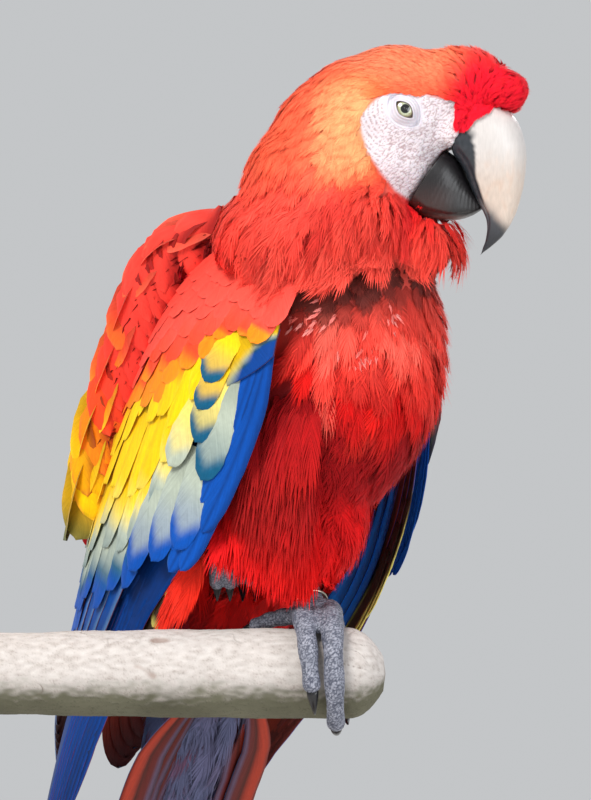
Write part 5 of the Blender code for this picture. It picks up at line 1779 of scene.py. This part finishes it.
def make_scapulars(side):
    """A loose shield of broad feathers over the back edge of the wing, curled along its front."""
    rng = side_rng(side, 21)
    coat = Coat(f"scapular_{side}_feathers")

    def add(kind, down, v, length, drift, root_sink, tip_sink, half, tints, seed):
        paths, normals = lobe_paths(side, down, v, length, drift, root_sink, tip_sink)
        homes = wing_home(side, down, SCAPULAR_ANGLES[0] + 40 * v)
        add_blades(coat, kind, paths, normals, half, tints, homes, seed)

    downs, places = [], []
    for number, down in enumerate(np.arange(-0.072, 0.066, 0.0145)):
        row = np.arange(0.05 + (number % 2) * 0.09, 1.0, 0.18)
        downs.append(np.full(len(row), down))
        places.append(row)
    down, v = np.concatenate(downs), np.concatenate(places)
    count = len(down)
    down = down + rng.normal(0, 0.0016, count)
    v = v + rng.normal(0, 0.012, count)
    length = np.interp(down, (-0.07, -0.03, 0.02, 0.07), (0.028, 0.038, 0.046, 0.050))
    length = length * rng.uniform(0.94, 1.06, count)
    half = 0.0095 + 0.0025 * smooth(down, -0.06, 0.0)
    sink = rng.uniform(-0.0026, 0.0004, count)
    add("scapular", down, v, length, -0.02, 0.0036, sink, half, scapular_tint(down, v, rng), 5)
    down = np.arange(-0.070, 0.058, 0.0066)
    count = len(down)
    down = down + rng.normal(0, 0.0010, count)
    v = LOBE_FRONT + rng.uniform(-0.03, 0.05, count)
    length = rng.uniform(0.034, 0.042, count)
    drift = rng.uniform(-0.34, -0.24, count)
    add("shoulder", down, v, length, drift, 0.0005, -0.0030, 0.0085, shoulder_front_tint(down, rng), 9)
    down = np.arange(-0.066, 0.056, 0.0026)
    count = len(down)
    down = down + rng.normal(0, 0.0007, count)
    length = rng.uniform(0.017, 0.024, count)
    v = rng.uniform(-0.04, 0.10, count)
    sink = rng.uniform(-0.0040, -0.0010, count)
    add("curled", down, v, length, -0.02, 0.001, sink, 0.0043, curled_tints, 6)
    add_shoulder_down(coat, side)
    coat.make(sleek_plumage(), "red_plumage", f"scapulars_{side}", soft=0.3)


def add_shoulder_down(coat, side):
    """The down under the shoulder feathers: one closed lobe well inside them."""
    u, v, quads = shell_grid(26, 20)
    start, end = SCAPULAR_LENGTH
    low_angle, high_angle = SCAPULAR_ANGLES
    down = start + 0.004 + (end - start - 0.014) * u
    angle = low_angle + 1 + (high_angle - low_angle - 1) * v
    outer, low = lobe_points(side, down, v), wing_points(down, angle, 0.0018, side)
    full = np.sin(pi * np.clip(u, 0.02, 0.98)) ** 0.3
    top = low + (outer - low) * (0.80 * full)[..., None]
    points = np.concatenate((top, low[:, ::-1]), 1).reshape(1, -1, 3)
    facings = unit(top - low)
    facings = np.concatenate((facings, -facings[:, ::-1]), 1).reshape(1, -1, 3)
    homes = wing_home(side, doubled(down).ravel(), doubled(angle).ravel())[None] * (1.0, 0.02)
    tint = np.broadcast_to(CRIMSON, points.shape)
    coat.add(points, quads, (), tint, np.zeros_like(points), homes, facings)


# ---------------------------------------------------------------- tail


def make_tail():
    """Twelve graduated quills, red above with blue tips, dull brick red below."""
    rng = np.random.default_rng(31)
    coat = Coat("tail_feathers")
    t = np.linspace(0, 1, 16)[None]
    rank = np.repeat(np.arange(TAIL_PAIRS), 2)
    side = np.tile((-1.0, 1.0), TAIL_PAIRS)
    length = TAIL_LENGTH * (1 - 0.135 * rank)
    shift = side * (0.005 + 0.0054 * rank)
    depth = 0.002 + 0.0020 * rank + side * 0.0007
    open_out = 0.42 + 0.58 * smooth(t, 0.0, 0.30)
    down = TAIL_ROOT - 0.018 + (length[:, None] + 0.018) * t
    paths = body_to_world(np.stack((shift[:, None] * open_out, depth[:, None] * (1 - 0.3 * t), -down), -1))
    normals = np.broadcast_to(-BODY_AXES[1], paths.shape)
    count = len(rank)
    bright = rng.uniform(0.9, 1.1, (count, 1))
    blue_from = np.interp(rank, *TAIL_BLUE)[:, None]

    def over(a, x):
        blue = smooth(a, blue_from - 0.08, blue_from + 0.08)
        colour = mix(mix(SCARLET, CRIMSON, 0.5), SKY_BLUE * 0.8, blue)
        return colour * (bright * (1 - 0.25 * smooth(np.abs(x), 0.0, 0.2)))[..., None]

    def below(_, x):
        outward = x * side[:, None]
        colour = mix(TAIL_BRICK, TAIL_WEB, smooth(outward, -0.5, 0.1))
        colour = mix(colour, GREY_BLUE * 0.8, 0.7 * smooth(outward, 0.45, 0.85))
        colour = mix(colour, TAIL_RIM, 0.7 * smooth(np.abs(x), 0.90, 1.0))
        colour = mix(TAIL_SHAFT, colour, smooth(np.abs(x), 0.0, 0.07))
        return colour * bright[..., None]

    add_blades(
        coat, "tail", paths, normals, TAIL_FEATHER_WIDTH / 2, over, quill_homes(count, 0.05, 0.078, 0.3), 8,
        under=below, patch=(0.060, 0.30),
    )
    coat.make(quill_plumage(), "tail_plumage", "tail")


# ---------------------------------------------------------------- bill and eyes


def bill_points(stations, count, sides, box):
    """Sections of a horny sheath through ridge-to-edge rows, and each point's share along it."""
    rows = np.array([(i / (len(stations) - 1), *row) for i, row in enumerate(stations)])
    t = 1 - (1 - np.linspace(0, 1, count)) ** 1.25
    ridge_x, ridge_z, edge_x, edge_z, width = table_at(rows, t).T
    middle = np.stack(((ridge_x + edge_x) / 2, 0 * t, (ridge_z + edge_z) / 2), -1)
    tall = np.stack(((ridge_x - edge_x) / 2, 0 * t, (ridge_z - edge_z) / 2), -1)
    angle = np.arange(sides) * 2 * pi / sides
    square = np.where(np.sin(angle) > 0, box[0], box[1])
    out = np.sign(np.cos(angle)) * np.abs(np.cos(angle)) ** (2 / square)
    rise = np.sign(np.sin(angle)) * np.abs(np.sin(angle)) ** (2 / square)
    across = np.stack((0 * out, out, 0 * out), -1)
    points = middle[:, None] + tall[:, None] * rise[None, :, None] + across[None] * width[:, None, None]
    shape = points.shape[:2]
    return points, np.broadcast_to(t[:, None], shape), np.broadcast_to(rise[None], shape)


def make_sheath(name, stations, box, colour_at):
    """A fine bill piece with growth ridges, tinted by place."""
    count, sides = 110, 96
    points, t, rise = bill_points(stations, count, sides, box)
    mesh, flat = capped(name, points)
    height = bill_growth(flat, np.append(t.ravel(), (0, 1)), np.append(rise.ravel(), (0, 0)))
    flat = flat + normals_of(mesh) * height[:, None]
    set_tint(mesh, colour_at(flat))
    set_grain(mesh, flat * 1000)
    move_points(mesh, head_to_world(flat))
    return new_object(name, edited(mesh, face_outward))


def upper_bill_colour(head):
    """Ivory with faint warm streaks, slate at the gape, along the cutting edge and at the tip."""
    forward, up = head[:, 0], head[:, 2]
    wander = 0.0003 * rough(head, 260, 5)
    streaks = rough(np.stack((forward, head[:, 1], up * 0.22), -1), 520, 6)
    ivory = mix(IVORY, WARM_IVORY, smooth(-up, 0.006, 0.030))
    ivory = mix(ivory, IVORY_STREAK, 0.45 * smooth(streaks, 0.05, 0.6) * smooth(-up, 0.004, 0.024))
    ivory = mix(ivory, IVORY_STAIN, 0.30 * smooth(-streaks, 0.15, 0.6) * smooth(-up, 0.010, 0.030))
    edge = table_at(SLATE_EDGE, up)[:, 0]
    gape = smooth(edge - forward + wander, -0.0005, 0.0007)
    (tip_forward, tip_up), (slope_forward, slope_up) = TIP_LINE
    line = (forward - tip_forward) * slope_forward + (up - tip_up) * slope_up
    tip = smooth(-line + 2.0 * wander, -0.0022, 0.0040) * smooth(-up, 0.0290, 0.0330)
    slate = mix(SLATE_DARK, SLATE, 0.5 + 0.5 * rough(head, 700, 8))
    dark_tip = mix(TIP_GREY, TIP_DARK, smooth(-up, 0.034, 0.052))
    return mix(mix(ivory, dark_tip, tip), slate, gape * (1 - smooth(-up, 0.030, 0.038)))


def lower_bill_colour(head):
    """Slate towards the cutting edge, browner low down at the back, partly the horn's own brown and partly a
    painted reflection.
    """
    forward, up = head[:, 0], head[:, 2]
    base = mix(BILL_BLACK, BILL_DARK, 0.5 + 0.5 * rough(head, 500, 9))
    low = smooth(-up, 0.022, 0.034) * (1 - smooth(forward, 0.016, 0.026))
    # painted reflection: browner low down at the back, partly the horn's own brown tinge
    base = mix(base, BILL_BROWN_AND_REFLECTION, 0.75 * low)
    return mix(base, BILL_PALE, 0.6 * smooth(-up, 0.0375, 0.0395))


def bill_growth(head, t, rise):
    """Height of the bill's growth lines, with a groove along the cutting edge."""
    lines = np.cos(2 * pi * (t * 15 + 0.5 * rough(head, 90, 4)))
    flat = 0.00003 * lines * smooth(t, 0.05, 0.3) + 0.00008 * rough(head, 330, 10)
    groove = np.exp(-(((rise + 0.80) / 0.10) ** 2)) * smooth(t, 0.0, 0.2) * (1 - smooth(t, 0.7, 0.9))
    return flat - 0.0006 * groove - 0.0002


def make_bill():
    """Sheaths over the upper and the lower bill."""
    for half, stations, colour_at, material, slot in (
        ("upper", UPPER_BILL, upper_bill_colour, horn_material("bill_ivory", 0.30), "bill_horn"),
        ("lower", LOWER_BILL, lower_bill_colour, horn_material("bill_dark", 0.34), "dark_horn"),
    ):
        piece = make_sheath(f"bill_{half}_sheath", stations, BILL_BOX[half], colour_at)
        finish_piece(piece, material, slot, f"bill_{half}")


def make_eyes():
    """Eyeballs with a pale yellow iris round a black pupil."""
    rows, sides = 70, 64
    polar = np.linspace(0, pi, rows + 2)[1:-1]
    turn = np.arange(sides) * 2 * pi / sides
    for side, name in ((-1, "r"), (1, "l")):
        gaze = unit(np.array((0.20, side * 0.97, 0.10)))
        first = unit(np.cross(gaze, (0.0, 0.0, 1.0)))
        second = np.cross(gaze, first)
        ring = np.cos(turn)[:, None] * first + np.sin(turn)[:, None] * second
        points = np.cos(polar)[:, None, None] * gaze + np.sin(polar)[:, None, None] * ring[None]
        flat = np.concatenate((points.reshape(-1, 3), gaze[None], -gaze[None])) * (EYE_RADIUS - 0.0002)
        mesh = mesh_from(
            f"eye_{name}_ball", head_to_world(flat + eye_frame(side)[0]),
            grid_quads(rows, sides, closed=True), end_fans(rows, sides)[:, (0, 2, 1)],
        )
        facing = unit(flat)
        off_axis = np.degrees(np.arccos(np.clip(facing @ gaze, -1, 1)))
        iris = mix(IRIS_PALE, IRIS_OLIVE, smooth(off_axis + 5 * rough(facing, 9.0, 12), 18, 27))
        iris = mix(iris, IRIS_RIM, smooth(off_axis, 26.5, 32.0))
        set_tint(mesh, mix(PUPIL, iris, smooth(off_axis, *PUPIL_EDGE)))
        set_grain(mesh, facing)
        finish_piece(new_object(mesh.name, mesh), eye_material(), "eye", f"eye_{name}")


# ---------------------------------------------------------------- feet and branch


def round_branch(x, angle, radius):
    """Points round the branch's axis, by degrees up from its back."""
    turn = np.radians(angle)
    return np.stack(
        (x + 0 * turn, BRANCH_Y + radius * np.cos(turn), BRANCH_Z + radius * np.sin(turn)), -1
    )


def shank_mesh(ball, ankle, radii):
    """A straight shank from the toes' ball to the ankle, by radius at its ends and middle."""
    share = np.linspace(0, 1, 12)
    line = ball * (1 - share[:, None]) + ankle * share[:, None]
    return tube_mesh("shank", line, np.interp(share, (0, 0.5, 1), radii), 24)


def make_standing_foot():
    """Scaly toes wrapped round the branch, with broad scutes across their tops."""
    meshes = []
    for name, (start, shift, first, last, size) in TOES.items():
        t = np.linspace(0, 1, 60)
        radius = BRANCH_RADIUS + TOE_RADIUS * size + 2 * GAP
        line = round_branch(FOOT_X + start + shift * t, first + (last - first) * t, radius)
        radii = TOE_RADIUS * size * (1 - 0.28 * t + 0.05 * np.cos(6 * pi * t)) - 0.0002
        radii = radii * (1 + 0.030 * np.abs(np.sin(pi * t * 17)) ** 0.6 - 0.018)
        radii = np.minimum(radii, TOE_RADIUS * size)
        meshes.append(tube_mesh(name, line[:-1], radii[:-1], 24))
    ball = np.array((FOOT_X, BRANCH_Y + 0.001, BRANCH_Z + BRANCH_RADIUS + TOE_RADIUS + 0.0015))
    aside = np.array((0.0065, 0, 0))
    web_x, web_angle = FOOT_X + np.linspace(0, 0.001, 14), np.linspace(84, 128, 14)
    web = round_branch(web_x, web_angle, BRANCH_RADIUS + TOE_RADIUS)
    meshes += [
        tube_mesh("web", web, np.linspace(0.0056, 0.0024, 14), 20),
        tube_mesh("palm", (ball - aside, ball, ball + aside), (0.0055, 0.0062, 0.0055), 24),
        shank_mesh(ball, ball + (-0.005, 0.019, 0.016), (0.0056, 0.0048, 0.0056)),
    ]
    finish_foot("foot_l", meshes)


def make_drawn_up_foot():
    """The other foot, closed and held in the belly feathers."""
    ball = np.array((-0.0195, -0.0185, 0.5530))
    meshes = [shank_mesh(ball, ball + (-0.002, 0.026, 0.020), (0.0060, 0.0046, 0.0054))]
    t = np.linspace(0, 1, 30)
    a = np.radians(60 - 112 * t)
    radii = (0.0043 - 0.0010 * t) * (1 + 0.03 * np.abs(np.sin(pi * t * 9)) - 0.015)
    for k, (name, curl) in enumerate((("inner", -1), ("middle", -1), ("hind", 1), ("outer", 1))):
        across = -0.0085 + 0.0057 * k
        bend = (across + 0 * t, curl * 0.0081 * np.cos(a) + 0.002, 0.009 * np.sin(a) - 0.006)
        meshes.append(tube_mesh(name, ball + np.stack(bend, -1), radii, 24))
    finish_foot("foot_r", meshes)


def scale_edges(points):
    """How far each point is from the seams between the foot's scales, as a share."""
    cells = np.array([noise.voronoi(Vector(p) * SCALES_PER_METRE)[0][:2] for p in points])
    return cells[:, 1] - cells[:, 0]


def finish_foot(node, meshes):
    """One skin over a foot's parts, with raised scales between darker seams."""
    foot = relaxed(remeshed(joined(f"{node}_skin", meshes), FOOT_VOXEL), 2)
    points, normals = points_of(foot.data), normals_of(foot.data)
    height = 0.00018 * smooth(scale_edges(points), 0.05, 0.35) - 0.00010
    move_points(foot.data, points + normals * height[:, None])
    points = points_of(foot.data)
    skin = mix(SCALE_GREY, SCALE_PALE, 0.5 + 0.5 * rough(points, 240, 14))
    set_tint(foot.data, mix(SCALE_SEAM, skin, smooth(scale_edges(points), 0.06, 0.30)))
    set_grain(foot.data, points * 1000)
    finish_piece(foot, foot_material(), "foot_skin", node)


def smoothed_copy(node, name, material, slot):
    """A finer, rounder copy of a CAD node, which stands for it."""

    def join_faces(bm):
        merge_doubles(bm)
        bmesh.ops.join_triangles(bm, faces=bm.faces, angle_face_threshold=0.6, angle_shape_threshold=0.8)
        for face in bm.faces:
            face.smooth = True

    obj = new_object(name, edited(bpy.data.meshes.new(name), join_faces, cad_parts[node].data))
    change = obj.modifiers.new("round", "SUBSURF")
    change.levels = change.render_levels = 2
    finish_piece(applied(obj), material, slot, node)


def make_branch():
    """A weathered limb: pale and fine grained on top, olive grey below, with cracks and a worn end."""
    first, last = BRANCH_X
    count, sides = 420, 220
    x = first + (last - first) * np.linspace(0, 1, count)
    a = np.arange(sides) * 2 * pi / sides
    grid_x, grid_a = np.meshgrid(x, a, indexing="ij")
    to_end = last - grid_x
    swell = BRANCH_RADIUS * (1 - 0.35 * (FOOT_X - grid_x) / 0.20 * 0.4)
    rounded = BRANCH_RADIUS * (1 - 0.62 * np.maximum(0.0, 1 - to_end / 0.017) ** 2.4)
    swell = np.where(grid_x > FOOT_X + 0.012, rounded, swell)
    knob = 1 - 0.018 * (1 + np.sin(3 * grid_a + 60 * grid_x) * np.cos(95 * grid_x + grid_a))
    radius = swell * knob
    outward = np.stack((0 * grid_a, np.cos(grid_a), np.sin(grid_a)), -1).reshape(-1, 3)
    rings = np.stack((grid_x, BRANCH_Y + radius * np.cos(grid_a), BRANCH_Z + radius * np.sin(grid_a)), -1)
    flat = rings.reshape(-1, 3)
    grainy = rough(flat * (0.45, 1.0, 1.0), 520, 16)
    coarse = rough(flat, 55, 17)
    fine = rough(flat, 1500, 18)
    split = smooth(rough(flat, 38, 21), 0.22, 0.42)
    crack = 1 - split * (1 - smooth(np.abs(rough(flat * (0.35, 1.0, 1.0), 95, 19)), 0.0, 0.022))
    knot = smooth(rough(flat * (0.5, 1.0, 1.0), 130, 22), 0.58, 0.72)
    relief = 0.00026 * grainy + 0.0003 * coarse + 0.00011 * fine - 0.0004 * (1 - crack) - 0.0003 * knot
    flat = flat + outward * relief[:, None]
    top = smooth(np.sin(grid_a).ravel() + 0.16 * coarse + 0.22 * grainy, -0.62, -0.02)
    speckle = smooth(fine + 0.5 * grainy, 0.20, 0.75)
    pale = mix(mix(BARK_PALE, BARK_GREY, 0.5 + 0.5 * grainy), BARK_SPECKLE, 0.45 * speckle)
    low = mix(mix(BARK_OLIVE, BARK_MOSS, 0.5 + 0.5 * coarse), BARK_SHADE, 0.6 * speckle)
    colour = mix(BARK_CRACK, mix(low, pale, top), 0.35 + 0.65 * crack)
    colour = mix(colour, BARK_KNOT, 0.55 * knot)
    ends = np.array(((first, BRANCH_Y, BRANCH_Z), (last + 0.001, BRANCH_Y, BRANCH_Z)))
    points = np.concatenate((flat, ends))
    mesh = mesh_from("branch_bark", points, grid_quads(count, sides, closed=True), end_fans(count, sides))
    set_tint(mesh, np.concatenate((colour, colour[:2])))
    set_grain(mesh, points * 1000)
    finish_piece(new_object(mesh.name, mesh), bark_material(), "bark", "branch")


# ---------------------------------------------------------------- materials


class Nodes:
    """A material's node graph, built a node at a time."""

    def __init__(self, name):
        self.material = bpy.data.materials.new(name)
        self.material.use_nodes = True
        self.tree = self.material.node_tree
        self.shader = self.tree.nodes["Principled BSDF"]

    def put(self, target, value):
        if isinstance(value, bpy.types.NodeSocket):
            self.tree.links.new(value, target)
        else:
            target.default_value = value

    def add(self, kind, inputs=(), **settings):
        made = self.tree.nodes.new(kind)
        for key, value in settings.items():
            setattr(made, key, value)
        for key, value in dict(inputs).items():
            self.put(made.inputs[key], value)
        return made

    def attribute(self, name):
        return self.add("ShaderNodeAttribute", attribute_name=name)

    def maths(self, operation, *values):
        return self.add("ShaderNodeMath", enumerate(values), operation=operation).outputs[0]

    def noise(self, vector, scale, detail=3.0, roughness=0.6):
        inputs = {"Vector": vector, "Scale": scale, "Detail": detail, "Roughness": roughness}
        return self.add("ShaderNodeTexNoise", inputs).outputs["Fac"]

    def place(self):
        return self.add("ShaderNodeTexCoord").outputs["Object"]

    def tinted(self, *spreads):
        """The piece's own tint, varied by noises that are each spread from low to high."""
        colour = self.attribute("tint").outputs["Color"]
        for value, low, high in spreads:
            colour = self.scaled(colour, self.between(value, low, high))
        return colour

    def stretched(self, vector, by):
        return self.add("ShaderNodeVectorMath", {0: vector, 1: by}, operation="MULTIPLY").outputs[0]

    def scaled(self, colour, factor):
        """A colour made brighter or darker by a factor socket."""
        inputs = {0: colour, "Scale": factor}
        return self.add("ShaderNodeVectorMath", inputs, operation="SCALE").outputs[0]

    def between(self, value, low, high):
        """A value from 0 to 1 moved to low to high."""
        inputs = {"Value": value, 3: low, 4: high}
        return self.add("ShaderNodeMapRange", inputs).outputs[0]

    def mixed(self, share, a, b):
        """Between two colours, by a share from 0 to 1."""
        made = self.add("ShaderNodeMix", data_type="RGBA")
        for key, value in ((0, share), (6, (*a, 1)), (7, (*b, 1))):
            self.put(made.inputs[key], value)
        return made.outputs[2]

    def bump(self, height, strength, distance):
        inputs = {"Height": height, "Strength": strength, "Distance": distance}
        return self.add("ShaderNodeBump", inputs).outputs[0]

    def finish(self, **values):
        for key, value in values.items():
            self.put(self.shader.inputs[key.replace("_", " ")], value)
        return self.material


@cache
def plumage_material(name, roughness, sheen):
    """Tinted barbs: fine oblique streaks and bumps that run out from each feather's shaft."""
    n = Nodes(name)
    parts = n.add("ShaderNodeSeparateXYZ", {0: n.attribute("grain").outputs["Vector"]}).outputs
    out = n.maths("ABSOLUTE", parts[1])
    barb = n.maths("SUBTRACT", n.maths("MULTIPLY", parts[0], 26.0), n.maths("MULTIPLY", out, 9.0))
    inputs = {0: barb, 1: n.maths("MULTIPLY", out, 1.2), 2: n.maths("MULTIPLY", parts[2], 90.0)}
    where = n.add("ShaderNodeCombineXYZ", inputs)
    streak = n.noise(where.outputs[0], 1.0, 2.0, 0.55)
    blotch = n.noise(n.place(), 420.0, 2.0)
    return n.finish(
        Base_Color=n.tinted((streak, 0.74, 1.24), (blotch, 0.88, 1.12)),
        Roughness=n.between(streak, roughness - 0.06, roughness + 0.10), Normal=n.bump(streak, 0.35, 0.0004),
        Sheen_Weight=sheen, Sheen_Roughness=0.45, Specular_IOR_Level=0.15,
    )


def sleek_plumage():
    return plumage_material("sleek_plumage", 0.52, 0.04)


def quill_plumage():
    return plumage_material("quill_plumage", 0.46, 0.02)


def skin_material():
    n = Nodes("face_skin")
    place = n.place()
    pores, blotch = n.noise(place, 1900.0, 2.0), n.noise(place, 160.0, 3.0)
    return n.finish(
        Base_Color=n.tinted((blotch, 0.90, 1.08), (pores, 0.92, 1.06)),
        Roughness=n.between(pores, 0.50, 0.70), Normal=n.bump(pores, 0.30, 0.0002),
        Subsurface_Weight=0.10, Subsurface_Scale=0.002,
    )


def horn_material(name, roughness):
    """Worn horn: fine vertical growth streaks, with a dull scuffed gloss."""
    n = Nodes(name)
    grain = n.attribute("grain").outputs["Vector"]
    streak = n.noise(n.stretched(grain, (0.9, 0.5, 0.12)), 1.4, 4.0)
    scuff = n.noise(grain, 0.55, 5.0, 0.7)
    return n.finish(
        Base_Color=n.tinted((streak, 0.82, 1.14)),
        Roughness=n.between(scuff, roughness - 0.08, roughness + 0.22), Normal=n.bump(streak, 0.25, 0.0003),
        Coat_Weight=0.12, Coat_Roughness=0.25,
    )


@cache
def eye_material():
    n = Nodes("eyeball")
    fibres = n.noise(n.attribute("grain").outputs["Vector"], 14.0, 3.0)
    tint = n.tinted((fibres, 0.86, 1.10))
    return n.finish(Base_Color=tint, Roughness=0.08, Coat_Weight=1.0, Coat_Roughness=0.02)


@cache
def foot_material():
    n = Nodes("foot_scales")
    place = n.place()
    fine, soft = n.noise(place, 2400.0, 2.0), n.noise(place, 300.0, 3.0)
    return n.finish(
        Base_Color=n.tinted((soft, 0.85, 1.12)), Roughness=n.between(fine, 0.50, 0.74),
        Normal=n.bump(fine, 0.25, 0.0002),
    )


def claw_material():
    n = Nodes("claw_horn")
    streak = n.noise(n.place(), 500.0, 3.0)
    tint = n.mixed(streak, CLAW_BLACK, CLAW_GREY)
    roughness = n.between(streak, 0.22, 0.38)
    return n.finish(Base_Color=tint, Roughness=roughness, Normal=n.bump(streak, 0.15, 0.0002))


def bark_material():
    n = Nodes("pale_bark")
    place = n.place()
    fine, soft = n.noise(place, 1700.0, 3.0, 0.7), n.noise(place, 260.0, 3.0)
    return n.finish(
        Base_Color=n.tinted((fine, 0.84, 1.12), (soft, 0.90, 1.08)), Roughness=n.between(fine, 0.78, 0.95),
        Normal=n.bump(fine, 0.5, 0.0004), Specular_IOR_Level=0.25,
    )


def steel_material(name, colour, roughness):
    n = Nodes(name)
    lines = n.noise(n.stretched(n.place(), (1.0, 1.0, 0.05)), 900.0, 2.0)
    return n.finish(
        Base_Color=n.mixed(lines, colour * 0.82, colour), Metallic=1.0,
        Roughness=n.between(lines, roughness - 0.06, roughness + 0.10), Normal=n.bump(lines, 0.08, 0.0001),
    )


def wood_material():
    """Dark stained hardwood with long grain and satin lacquer."""
    n = Nodes("stand_walnut")
    place = n.place()
    bend = n.noise(place, 9.0, 2.0)
    along = n.stretched(place, (3.0, 60.0, 60.0))
    rings = n.noise(along, n.between(bend, 0.9, 1.1), 4.0, 0.6)
    pores = n.noise(along, 14.0, 2.0)
    tint = n.mixed(rings, WOOD_DARK, WOOD_BROWN)
    tint = n.scaled(tint, n.between(pores, 0.80, 1.10))
    return n.finish(
        Base_Color=tint, Roughness=n.between(pores, 0.30, 0.46), Normal=n.bump(pores, 0.12, 0.0002),
        Coat_Weight=0.25, Coat_Roughness=0.2,
    )


# ---------------------------------------------------------------- stage


CAMERA_PLACE = (0.007, -2.5, 0.6215)
CAMERA_LENS = 250  # mm
LIGHTS_AIM = (0.0, 0.0, 0.62)
# Each light: place, width, watts and colour
LIGHTS = {
    "key": ((-0.9, -1.5, 2.2), 1.0, 54, (1.0, 0.97, 0.93)),
    "fill": ((1.6, -1.7, 0.9), 1.6, 25, (0.94, 0.97, 1.0)),
    "back": ((0.5, 1.7, 1.7), 1.2, 22, (1.0, 1.0, 1.0)),
}
ROOM_COLOUR = (0.86, 0.88, 0.90, 1.0)
ROOM_STRENGTH = 0.64
FLOOR_RADIUS = 2.4


def make_camera():
    """A level camera straight in front, far enough back for a long lens."""
    held = bpy.data.cameras.new("camera")
    held.lens = CAMERA_LENS
    held.sensor_width = 36
    camera = new_object("camera", held)
    camera.location = CAMERA_PLACE
    camera.rotation_euler = (pi / 2, 0, 0)
    bpy.context.scene.camera = camera


def make_light(name, place, width, watts, colour):
    held = bpy.data.lights.new(name, "AREA")
    held.shape = "DISK"
    held.size = width
    held.energy = watts
    held.color = colour
    lamp = new_object(name, held)
    lamp.location = place
    way = Vector(LIGHTS_AIM) - Vector(place)
    lamp.rotation_euler = way.to_track_quat("-Z", "Y").to_euler()


def make_stage():
    """A pale floor, a soft key from above, and a pale room."""
    for name, facts in LIGHTS.items():
        make_light(name, *facts)
    world = bpy.data.worlds.new("room")
    world.use_nodes = True
    sky = world.node_tree.nodes["Background"]
    sky.inputs["Color"].default_value = ROOM_COLOUR
    sky.inputs["Strength"].default_value = ROOM_STRENGTH
    bpy.context.scene.world = world

    def disc(bm):
        bmesh.ops.create_circle(bm, cap_ends=True, segments=128, radius=FLOOR_RADIUS)

    held = bpy.data.meshes.new("floor")
    floor = new_object("floor", edited(held, disc))
    n = Nodes("pale_floor")
    cloud = n.noise(n.place(), 3.0, 3.0)
    tint = n.mixed(cloud, FLOOR_GREY, FLOOR_PALE)
    held.materials.append(n.finish(Base_Color=tint, Roughness=n.between(cloud, 0.7, 0.85)))


def finish_stand():
    """Materials for the stand's own CAD nodes, which show as they are."""
    wood = wood_material()
    steel = steel_material("stand_steel", STAND_STEEL, 0.34)
    for node, material in (
        ("stand_base", wood), ("stand_rod", steel), ("stand_collar", steel), ("stand_ferrule", steel),
    ):
        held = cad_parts[node].data
        held.materials.clear()
        held.materials.append(material)


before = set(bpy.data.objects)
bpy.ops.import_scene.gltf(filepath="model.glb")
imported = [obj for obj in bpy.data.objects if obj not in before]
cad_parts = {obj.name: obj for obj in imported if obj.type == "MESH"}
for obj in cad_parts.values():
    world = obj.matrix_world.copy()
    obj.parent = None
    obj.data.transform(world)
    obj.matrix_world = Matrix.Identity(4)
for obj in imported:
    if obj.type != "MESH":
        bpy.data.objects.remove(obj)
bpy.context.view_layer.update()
bpy.context.scene.view_settings.view_transform = "Standard"
make_camera()
make_stage()
finish_stand()
make_body_coat(make_skin())
for wing in ("r", "l"):
    make_wing_lining(wing)
    make_wing_coverts(wing)
    make_quills(wing)
    make_inner_feathers(wing)
    make_scapulars(wing)
make_tail()
make_bill()
make_eyes()
make_standing_foot()
make_drawn_up_foot()
claw = claw_material()
for foot_side in ("l", "r"):
    for toe_name in TOES:
        node_name = f"claw_{foot_side}_{toe_name}"
        smoothed_copy(node_name, f"{node_name}_horn", claw, "dark_horn")
band_steel = steel_material("band_steel", BAND_STEEL, 0.28)
smoothed_copy("leg_band", "leg_band_wire", band_steel, "steel")
make_branch()
